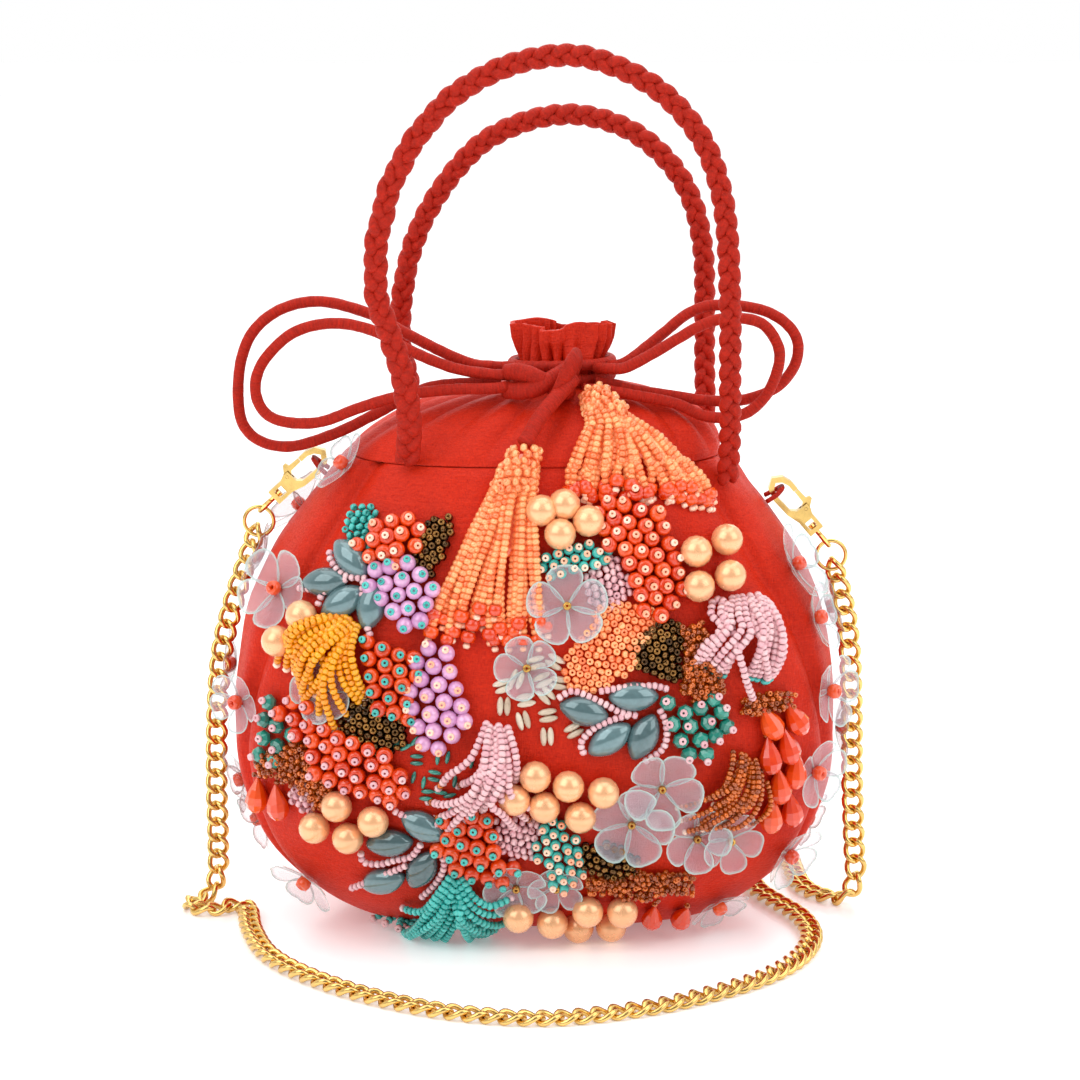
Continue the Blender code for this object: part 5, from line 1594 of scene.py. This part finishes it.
class BAG_OT_drawstring(bpy.types.Operator):
    """Make the drawstring's turns round the neck, its knot and its tail"""

    bl_idname = "bag.drawstring"
    bl_label = "Drawstring"

    def execute(self, context):
        reach = STRING_DIAMETER / 2 + WRAP_GAP
        a, b = NECK_HALF_WIDTH + reach, NECK_HALF_DEPTH + reach
        radius = STRING_DIAMETER / 2
        up = Vector((0, 0, 1))
        for number, height in enumerate(WRAP_HEIGHTS):
            path = []
            for turn in spread_turns(a, b, NECK_SQUARENESS, WRAP_POINTS):
                x, y = superellipse(a, b, NECK_SQUARENESS, turn)
                path.append(Vector((x + NECK_LEAN, y, height + WRAP_SLOPE * math.sin(turn + number * 2.0))))
            rings = []
            for i, point in enumerate(path):
                direction = (path[(i + 1) % len(path)] - path[i - 1]).normalized()
                away = direction.cross(up).normalized()
                ring = []
                for k in range(WRAP_SIDES):
                    turn = math.tau * k / WRAP_SIDES
                    wave = 1 + STRING_CREASE * noise.noise(Vector((k, i * 0.5, number * 9)))
                    ring.append(point + (away * math.cos(turn) + up * math.sin(turn)) * radius * wave)
                rings.append(ring)
            lofted(f"neck_turn_{number + 1}", rings, cord_material(), closed=True)
        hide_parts("drawstring_wrap")
        self.knot()
        return {"FINISHED"}

    def knot(self):
        """The knot: an upright band over two crossing rolls, and the tail under it."""
        for number, (name, route) in enumerate(KNOT_ROLLS.items()):
            points = smooth_route(route, KNOT_STEP)
            made = self.tube(name, points, carried_frames(points), KNOT_ROLL_SIZE, 16, 0.08, number * 3.0)
            if number == 0:
                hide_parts("drawstring_knot")
        points = smooth_route(KNOT_BAND_ROUTE, KNOT_STEP)
        frames = carried_frames(points, Vector((0, 0, 1)))
        self.tube("knot_band", points, frames, KNOT_BAND_SIZE, 18, 0.1, 5.0)
        points = smooth_route(TAIL_ROUTE, TAIL_STEP)
        frames = carried_frames(points)
        self.tube("drawstring_tail", points, frames, (TAIL_DIAMETER, TAIL_DIAMETER), 14, STRING_CREASE, 9.0)

    def tube(self, name, points, frames, size, sides, crease, seed):
        """A length of the drawstring."""
        made = lofted(name, tube_rings(points, frames, *size, sides, crease, seed), cord_material())
        return made


class BAG_OT_handles(bpy.types.Operator):
    """Braid the two handles from three cords each"""

    bl_idname = "bag.handles"
    bl_label = "Braided handles"

    def execute(self, context):
        for label, route, feet, way in (
            ("front", FRONT_HANDLE_ROUTE, FRONT_FEET, -1), ("back", BACK_HANDLE_ROUTE, BACK_FEET, 1),
        ):
            ends = []
            for x, z in feet:
                point, normal = on_front(x * MM, z * MM, way)
                ends.append(tuple((point + normal * BRAID_LIFT) / MM))
            points = smooth_route([ends[0], *route, ends[1]], BRAID_STEP)
            frames = carried_frames(points)
            step = length_of(points) / (len(points) - 1)
            rings = []
            for strand in range(BRAID_STRANDS):
                path = []
                for i, (point, (side, front)) in enumerate(zip(points, frames)):
                    turn = math.tau * (i * step / BRAID_LOBE + strand) / BRAID_STRANDS
                    path.append(
                        point + side * BRAID_SWING * math.sin(turn) + front * BRAID_DIP * math.sin(2 * turn)
                    )
                rings.append(tube_rings(
                    path, carried_frames(path), BRAID_STRAND_WIDTH,
                    BRAID_STRAND_THICKNESS, 12, 0.05, strand * 4.0,
                ))
            pieces = [
                lofted(f"{label}_braid_{n}", strand, cord_material()) for n, strand in enumerate(rings)
            ]
            deselect()
            for made in pieces:
                made.select_set(True)
            bpy.context.view_layer.objects.active = pieces[0]
            bpy.ops.object.join()
            made = bpy.context.object
            made.name = f"{label}_braid"
            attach(made, "bag")
            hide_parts(f"{label}_handle")
        return {"FINISHED"}


def tassel_row(shape, part):
    """The tassel's x, angle, half width and thickness at a share of the way down."""
    places = np.linspace(0, 1, len(shape))
    return [float(np.interp(part, places, [row[k] for row in shape])) for k in range(4)]


def tassel_place(shape, part, across, lift):
    """A place in the tassel: down it, across it and that far off the cloth."""
    x, angle, half, _ = tassel_row(shape, part)
    turn = math.radians(angle)
    start = Vector(((x + half * across) * MM, 0, TASSEL_EYE_Z))
    way = Vector((0, -math.cos(turn), math.sin(turn)))
    point, normal = cast(start + way * NEAR_CAST_REACH, -way)
    return point + normal * lift, normal


class BAG_OT_large_tassels(bpy.types.Operator):
    """String the two large tassels"""

    bl_idname = "bag.large_tassels"
    bl_label = "Large tassels"

    def execute(self, context):
        for name, shape in LARGE_TASSELS.items():
            self.tassel(name, shape, context.scene.bag_beads.seed)
        return {"FINISHED"}

    def tassel(self, name, shape, seed):
        """A wound head over a skirt of strands in three layers, each ending in a large and a small bead."""
        work = Beadwork(f"{name}_beads")
        crystal, coral = glass_material("peach"), glass_material("coral")
        head, last = TASSEL_HEAD, TASSEL_STEPS - 1
        for layer in range(TASSEL_LAYERS):
            here = TASSEL_STRANDS[name] - TASSEL_THINNING * layer
            for j in range(here):
                across = 2 * (j + 0.5) / here - 1 + work.chance.uniform(-0.45, 0.45) / here
                end = work.chance.uniform(0.86, 1.0) - layer * 0.02
                sway = work.chance.uniform(-0.1, 0.1)
                stand = work.chance.uniform(0.0, 1.8 * MM)
                path, normals = [], []
                for i in range(TASSEL_STEPS):
                    part = head * 0.6 + (end - head * 0.6) * i / last
                    thick = tassel_row(shape, part)[3] * MM
                    lift = seed * 0.5 + (thick - seed) * layer / 2.6 * (1 - 0.5 * across**2)
                    lift += stand * math.sin(math.pi * i / last)
                    wide = across + sway * math.sin((part - head) * 5)
                    point, normal = tassel_place(shape, part, wide, lift)
                    path.append(point)
                    normals.append(normal)
                strung(work, path, normals, "seed", seed * 1.04, crystal, seed * 0.72, 0.2 * MM)
                direction = (path[-1] - path[-4]).normalized()
                tip = path[-1] + direction * 2.4 * MM
                work.add("large", placed(tip, direction, work.chance.uniform(4.2, 4.8) * MM), coral)
                work.add("seed", placed(tip + direction * 2.7 * MM, direction, 2.3 * MM),
                         glass_material("clear"))
        for i in range(TASSEL_HEAD_ROWS):
            part = head * 1.1 * i / (TASSEL_HEAD_ROWS - 1)
            _, _, half, thick = tassel_row(shape, part)
            count = round(half * MM * 3.0 / seed)
            for j in range(count):
                across = math.sin(math.pi * ((j + 0.25 + 0.5 * (i % 2)) / count - 0.5))
                lift = thick * MM * math.sqrt(1 - across**2) * 0.85 + seed * 0.3
                point, normal = tassel_place(shape, part, across * 1.02, lift)
                axis = Vector([work.chance.uniform(-1, 1) for _ in range(3)]) + Vector((1, 0, 0))
                work.add("seed", placed(point, axis.normalized(), seed * 1.08), crystal)
        made = work.piece()
        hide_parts(name)
        self.core(name, shape)

    def core(self, name, shape):
        """The bundle of threads inside the strands."""
        rings = []
        gap = 0.1 * MM
        wide = TASSEL_CORE_WIDTH
        for i in range(TASSEL_CORE_RINGS):
            part = 0.02 + TASSEL_CORE_LENGTH * i / (TASSEL_CORE_RINGS - 1)
            thick = tassel_row(shape, part)[3] * MM
            under = [tassel_place(shape, part, a * wide, gap)[0] for a in np.linspace(-1, 1, 9)]
            over = [
                tassel_place(shape, part, a * wide, gap + thick * 0.4 * (1 - 0.6 * a * a))[0]
                for a in np.linspace(1, -1, 9)
            ]
            rings.append(under + over)
        threads = lofted(f"{name}_threads", rings, glass_material("peach"))


class BAG_OT_clusters(bpy.types.Operator):
    """Sew the clusters of beads on the front"""

    bl_idname = "bag.clusters"
    bl_label = "Bead clusters"

    def execute(self, context):
        beads = context.scene.bag_beads
        for name, sewn in (*CLUSTERS.items(), *LOOSE_PATCHES.items()):
            layout, colour, tip, spacing, slant, outline = sewn
            work = Beadwork(f"{name}_beads")
            places = packed_pixels(outline, spacing, slant, work.chance)
            xs, ys = zip(*outline)
            middle = (min(xs) + max(xs)) / 2, (min(ys) + max(ys)) / 2
            reach = (max(xs) - min(xs)) / 2, (max(ys) - min(ys)) / 2
            for px, py in places:
                point, normal = seen(px, py)
                along, up = cloth_directions(normal)
                out = Vector(((px - middle[0]) / reach[0], (middle[1] - py) / reach[1]))
                spot = (point, normal, along, up, out, tip)
                getattr(self, layout)(work, beads, spot, glass_material(colour))
            made = work.piece()
            if name in CLUSTERS:
                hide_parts(name)
        self.loose_beads()
        self.rice()
        return {"FINISHED"}

    def mound(self, out, height):
        """How far the middle of a cluster stands over its rim."""
        return height * max(0.0, 1 - out.length_squared) * MM

    def any_way(self, work, share):
        return Vector([work.chance.uniform(-share, share) for _ in range(3)])

    def rows(self, work, beads, spot, finish):
        """Seed beads side by side, with their holes along the rows."""
        point, normal, along, _, out, _ = spot
        seed = beads.seed
        rise = self.mound(out, 1.6)
        axis = (along + self.any_way(work, 0.8)).normalized()
        work.add("seed", placed(point + normal * (seed * 0.4 + rise), axis, seed * 0.98), finish)
        # Where the mound stands high, a second bead lies under the top one in a dark tone: painted shade
        # under it.
        if rise > seed * 0.3:
            work.add("seed", placed(point + normal * seed * 0.35, axis, seed), finish, 0.1)

    def rings(self, work, beads, spot, finish):
        """Seed beads with their holes looking out of the cloth."""
        point, normal, along, up, out, _ = spot
        seed = beads.seed
        rise = self.mound(out, 1.8)
        axis = (normal + (along * out.x + up * out.y) * 0.4 + self.any_way(work, 0.85)).normalized()
        work.add("seed", placed(point + normal * (seed * 0.75 + rise), axis, seed * 0.96), finish)
        # The beads under the top one take the darkest tone: painted shade beneath it.
        for step in (0.2, 0.9):
            if rise > seed * step - seed * 0.5:
                place = point + normal * (seed * 0.1 + seed * step * 0.6)
                work.add("seed", placed(place, axis, seed * 1.02), finish, 0.0)

    def tiny(self, work, beads, spot, finish):
        """Small seed beads in short loops that lie every way."""
        point, normal, along, *_ = spot
        seed = beads.seed * 0.72
        for layer in range(3):
            shift = self.any_way(work, 0.6 * MM)
            axis = (self.any_way(work, 1.0) + along * 0.3).normalized()
            work.add("seed", placed(point + shift + normal * seed * (0.5 + 0.8 * layer), axis, seed), finish)

    def stems(self, work, beads, spot, finish):
        """Large beads that stand on the cloth side by side, each with a small bead on its top."""
        point, normal, along, up, out, tip = spot
        lean = (along * out.x + up * out.y) * 0.45 + self.any_way(work, 0.22)
        axis = (normal + lean).normalized()
        size = beads.large * work.chance.uniform(0.94, 1.06)
        kind = "round" if finish.name.startswith("lilac") else "large"
        middle = point + normal * size * 0.5 + normal * self.mound(out, 1.2)
        work.add(kind, placed(middle, axis, size), finish)
        work.add("seed", placed(middle + axis * size * 0.5, axis, 2.35 * MM), glass_material(tip))

    def tipped(self, work, beads, spot, finish):
        """Smaller standing beads with a clear bead on each."""
        point, normal, along, up, out, tip = spot
        axis = (normal + (along * out.x + up * out.y) * 0.35 + self.any_way(work, 0.25)).normalized()
        size = TIPPED_BEAD
        middle = point + normal * (size * 0.5 + self.mound(out, 1.4))
        work.add("large", placed(middle, axis, size), finish)
        work.add("seed", placed(middle + axis * size * 0.55, axis, 2.2 * MM), glass_material(tip))

    def loose_beads(self):
        """The cut beads that the photograph shows one by one, and the drops."""
        for name, places in (("teal_cluster_left", TEAL_LEFT_SEEN), ("teal_cluster_right", TEAL_RIGHT_SEEN)):
            work = Beadwork(f"{name}_beads")
            middle = sum(px for px, _ in places) / len(places), sum(py for _, py in places) / len(places)
            for px, py in places:
                point, normal = seen(px, py)
                along, up = cloth_directions(normal)
                lean = (along * (px - middle[0]) + up * (middle[1] - py)) / TEAL_LEAN_REACH
                axis = (normal + lean + self.any_way(work, 0.3)).normalized()
                centre = point + normal * TEAL_LIFT
                work.add("cut", placed(centre, axis, TEAL_BEAD, stretch=0.86), glass_material("teal"))
                work.add("seed", placed(centre + axis * 2.7 * MM, axis, TEAL_TIP), glass_material("pink"))
            made = work.piece()
            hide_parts(name)
        for name, places, size in (
            ("coral_drops_right", DROPS_RIGHT_SEEN, 11.5), ("coral_drops_left", DROPS_LEFT_SEEN, 11.5),
            ("amber_row_drops", AMBER_DROPS_SEEN, 10.5),
        ):
            work = Beadwork(f"{name}_beads")
            for px, py, angle in places:
                point, normal = seen(px, py)
                along, up = cloth_directions(normal)
                turn = math.radians(angle)
                axis = (up * math.cos(turn) - along * math.sin(turn) - normal * 0.12).normalized()
                work.add("drop", placed(point + normal * DROP_LIFT, axis, size * MM), glass_material("coral"))
                top = point + normal * 2.2 * MM + axis * size * 0.5 * MM
                work.add("seed", placed(top, axis, 2.0 * MM), glass_material("amber"))
            made = work.piece()
            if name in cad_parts:
                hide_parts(name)

    def rice(self):
        """Rice beads sewn flat: ivory ones in pairs, and teal ones scattered."""
        ivory = Beadwork("ivory_rice_patch")
        for px, py, angle in IVORY_PAIRS_SEEN:
            turn = math.radians(angle)
            for shift in (-IVORY_SPREAD, IVORY_SPREAD):
                self.flat_rice(ivory, px + shift * math.sin(turn), py + shift * math.cos(turn), angle,
                               IVORY_RICE, "ivory")
        ivory.piece()
        teal = Beadwork("teal_rice_cluster_beads")
        for px, py, angle in TEAL_RICE_SEEN:
            self.flat_rice(teal, px, py, angle, TEAL_RICE, "teal")
        made = teal.piece()
        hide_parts("teal_rice_cluster")

    def flat_rice(self, work, px, py, angle, size, colour):
        point, normal = seen(px, py)
        along, up = cloth_directions(normal)
        turn = math.radians(angle)
        axis = along * math.cos(turn) + up * math.sin(turn)
        work.add("rice", placed(point + normal * size * 0.16, axis, size), glass_material(colour))


class BAG_OT_small_tassels(bpy.types.Operator):
    """String the five small tassels on the front"""

    bl_idname = "bag.small_tassels"
    bl_label = "Small tassels"

    def execute(self, context):
        for name, (colour, tip, end, stand, strands) in SMALL_TASSELS.items():
            work = Beadwork(f"{name}_beads")
            size = context.scene.bag_beads.seed * (0.8 if colour == "amber" else 1.04)
            between = [
                tuple(((a + c) / 2, (b + d) / 2) for (a, b), (c, d) in zip(one, other))
                for one, other in zip(strands, strands[1:]) if len(one) == len(other)
            ]
            for n, pixels in enumerate((*strands, *between)):
                hump = stand * (0.55 + 0.45 * ((n * 2) % 5) / 4) * MM
                path, normals = seen_path(pixels, size * 0.6 + 1.2 * MM, hump)
                strung(work, path, normals, "seed", size, glass_material(colour), size * 0.72)
                direction = (path[-1] - path[-2]).normalized()
                last = path[-1] + direction * size * 0.75
                if tip:
                    work.add("seed", placed(last, direction, size * 0.9), glass_material(tip))
                    last += direction * size * 0.75
                work.add("seed", placed(last, direction, size), glass_material(end), 1.0)
            made = work.piece()
            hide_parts(name)
        return {"FINISHED"}


class BAG_OT_pearls(bpy.types.Operator):
    """Sew on the pearls"""

    bl_idname = "bag.pearls"
    bl_label = "Pearls"

    def execute(self, context):
        size = context.scene.bag_beads.pearl
        work = Beadwork("champagne_pearls")
        for px, py in PEARLS_SEEN:
            point, normal = seen(px, py)
            work.add("round", placed(point + normal * size * 0.44, normal, size), pearl_material())
        work.piece()
        return {"FINISHED"}


class BAG_OT_stones(bpy.types.Operator):
    """Sew on the leaf-shaped stones and the pink strands round them"""

    bl_idname = "bag.stones"
    bl_label = "Stones and pink strands"

    def execute(self, context):
        seed = context.scene.bag_beads.seed
        work = Beadwork("leaf_stones")
        for px, py, angle in STONES_SEEN:
            point, normal = seen(px, py)
            along, up = cloth_directions(normal)
            turn = math.radians(angle)
            length = (along * math.cos(turn) + up * math.sin(turn)).normalized()
            turned = Matrix((length, normal.cross(length), normal)).transposed().to_4x4()
            place = Matrix.Translation(point + normal * STONE_LIFT) @ turned
            work.add("stone", place @ Matrix.Scale(STONE_LENGTH, 4), stone_material())
        work.piece()
        strands = Beadwork("pink_strands")
        for pixels in STRANDS_SEEN:
            path, normals = seen_path(pixels, seed * 0.5 + 1.6 * MM)
            strung(strands, path, normals, "seed", seed * 0.95, glass_material("pink"), seed * 0.74)
        made = strands.piece()
        return {"FINISHED"}


class BAG_OT_flowers(bpy.types.Operator):
    """Sew on the flowers of clear petals"""

    bl_idname = "bag.flowers"
    bl_label = "Flowers"

    def execute(self, context):
        work = Beadwork("petal_flowers")
        for px, py, radius in FLOWERS_SEEN:
            self.flower(work, *seen(px, py), radius * 1.2, "gold_bead")
        for px, py, radius in EDGE_FLOWERS_SEEN:
            self.flower(work, *seen(px, py), radius, "coral")
        for side, y, z, radius in SIDE_FLOWERS:
            self.flower(work, *on_side(side, y * MM, z * MM), radius, "coral")
        work.piece()
        return {"FINISHED"}

    def flower(self, work, point, normal, radius, centre):
        """Five petals round a middle bead."""
        along, up = cloth_directions(normal)
        start = work.chance.uniform(0, math.tau)
        for k in range(PETALS):
            turn = start + math.tau * k / PETALS + work.chance.uniform(-0.1, 0.1)
            out = along * math.cos(turn) + up * math.sin(turn)
            matrix = Matrix((out, normal.cross(out), normal)).transposed().to_4x4()
            place = Matrix.Translation(point + normal * (1.2 + 0.25 * (k % 2)) * MM + out * 0.6 * MM) @ matrix
            work.add("petal", place @ Matrix.Scale(radius * 1.1 * MM, 4), petal_material())
        size = 4.6 if centre == "coral" else 2.6
        work.add("large", placed(point + normal * (1.6 + size * 0.3) * MM, normal, size * MM),
                 glass_material(centre))


class BAG_OT_metalwork(bpy.types.Operator):
    """Finish the clasps in gilt metal"""

    bl_idname = "bag.metalwork"
    bl_label = "Clasps"

    def execute(self, context):
        for label in ("left", "right"):
            for part in ("clasp_hook", "trigger_lever", "lever_pin", "swivel_eye"):
                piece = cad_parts[f"{part}_{label}"]
                piece.data.materials.clear()
                piece.data.materials.append(gilt_material())
        return {"FINISHED"}


class BAG_OT_tabs(bpy.types.Operator):
    """Make the silk loops that the clasps hold"""

    bl_idname = "bag.tabs"
    bl_label = "Silk tabs"

    def execute(self, context):
        for label, ((x, z), slant) in CLASP_PLACES.items():
            side = -1 if label == "left" else 1
            turn = Matrix.Rotation(math.radians(slant), 3, "Y")
            origin = Vector((x * MM, 0, z * MM))
            crown = origin + turn @ Vector((0, 0, TAB_CROWN_Z))
            inward = turn @ Vector((-side, 0, 0))
            axis = turn @ Vector((0, 0, 1))
            ends = []
            for y in (-TAB_REACH, TAB_REACH):
                start = Vector((crown.x * 0.5, y, crown.z - 12 * MM))
                aim = (crown + Vector((0, y, 0)) + inward * TAB_REACH - start).normalized()
                point, normal = cast(start + aim * NEAR_CAST_REACH, -aim)
                ends.append(point + normal * 0.9 * MM)
            near, far = TAB_SPREAD
            path = [
                ends[0], crown + inward * near + Vector((0, -far, 0)), crown + Vector((0, -near, 0)), crown,
                crown + Vector((0, near, 0)), crown + inward * near + Vector((0, far, 0)), ends[1],
            ]
            points = smooth_route([tuple(point / MM) for point in path], 0.7 * MM)
            rings = tube_rings(points, carried_frames(points, axis), *TAB_SIZE, 14, 0.06, 2.0)
            made = lofted(f"silk_loop_{label}", rings, cord_material())
            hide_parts(f"fabric_tab_{label}")
        return {"FINISHED"}


class BAG_PT_panel(bpy.types.Panel):
    """The bag's settings and its steps"""

    bl_label = "Clutch bag"
    bl_idname = "BAG_PT_panel"
    bl_space_type = "VIEW_3D"
    bl_region_type = "UI"
    bl_category = "Clutch bag"

    def draw(self, context):
        scene = context.scene
        for settings in (scene.bag_cloth, scene.bag_beads, scene.bag_gilt, scene.bag_stage):
            box = self.layout.box()
            for name in settings.__annotations__:
                box.prop(settings, name)
        for step in STEPS:
            self.layout.operator(step.bl_idname)


SETTINGS = {
    "bag_cloth": ClothSettings, "bag_beads": BeadSettings, "bag_gilt": GiltSettings,
    "bag_stage": StageSettings,
}
STEPS = (
    BAG_OT_stage, BAG_OT_chain, BAG_OT_bow, BAG_OT_pouch, BAG_OT_yoke, BAG_OT_drawstring, BAG_OT_handles,
    BAG_OT_large_tassels, BAG_OT_clusters, BAG_OT_small_tassels, BAG_OT_pearls, BAG_OT_stones,
    BAG_OT_flowers, BAG_OT_metalwork, BAG_OT_tabs,
)


def register():
    for kind in (*SETTINGS.values(), *STEPS, BAG_PT_panel):
        bpy.utils.register_class(kind)
    for name, kind in SETTINGS.items():
        setattr(bpy.types.Scene, name, PointerProperty(type=kind))


def unregister():
    for name in SETTINGS:
        delattr(bpy.types.Scene, name)
    for kind in (BAG_PT_panel, *reversed(STEPS), *reversed(SETTINGS.values())):
        bpy.utils.unregister_class(kind)


def main():
    register()
    bpy.ops.bag.stage()
    bpy.ops.bag.chain()
    bpy.ops.bag.bow()
    bpy.ops.bag.pouch()
    bpy.ops.bag.yoke()
    bpy.ops.bag.drawstring()
    bpy.ops.bag.handles()
    bpy.ops.bag.large_tassels()
    bpy.ops.bag.clusters()
    bpy.ops.bag.small_tassels()
    bpy.ops.bag.pearls()
    bpy.ops.bag.stones()
    bpy.ops.bag.flowers()
    bpy.ops.bag.metalwork()
    bpy.ops.bag.tabs()


if __name__ == "__main__":
    main()
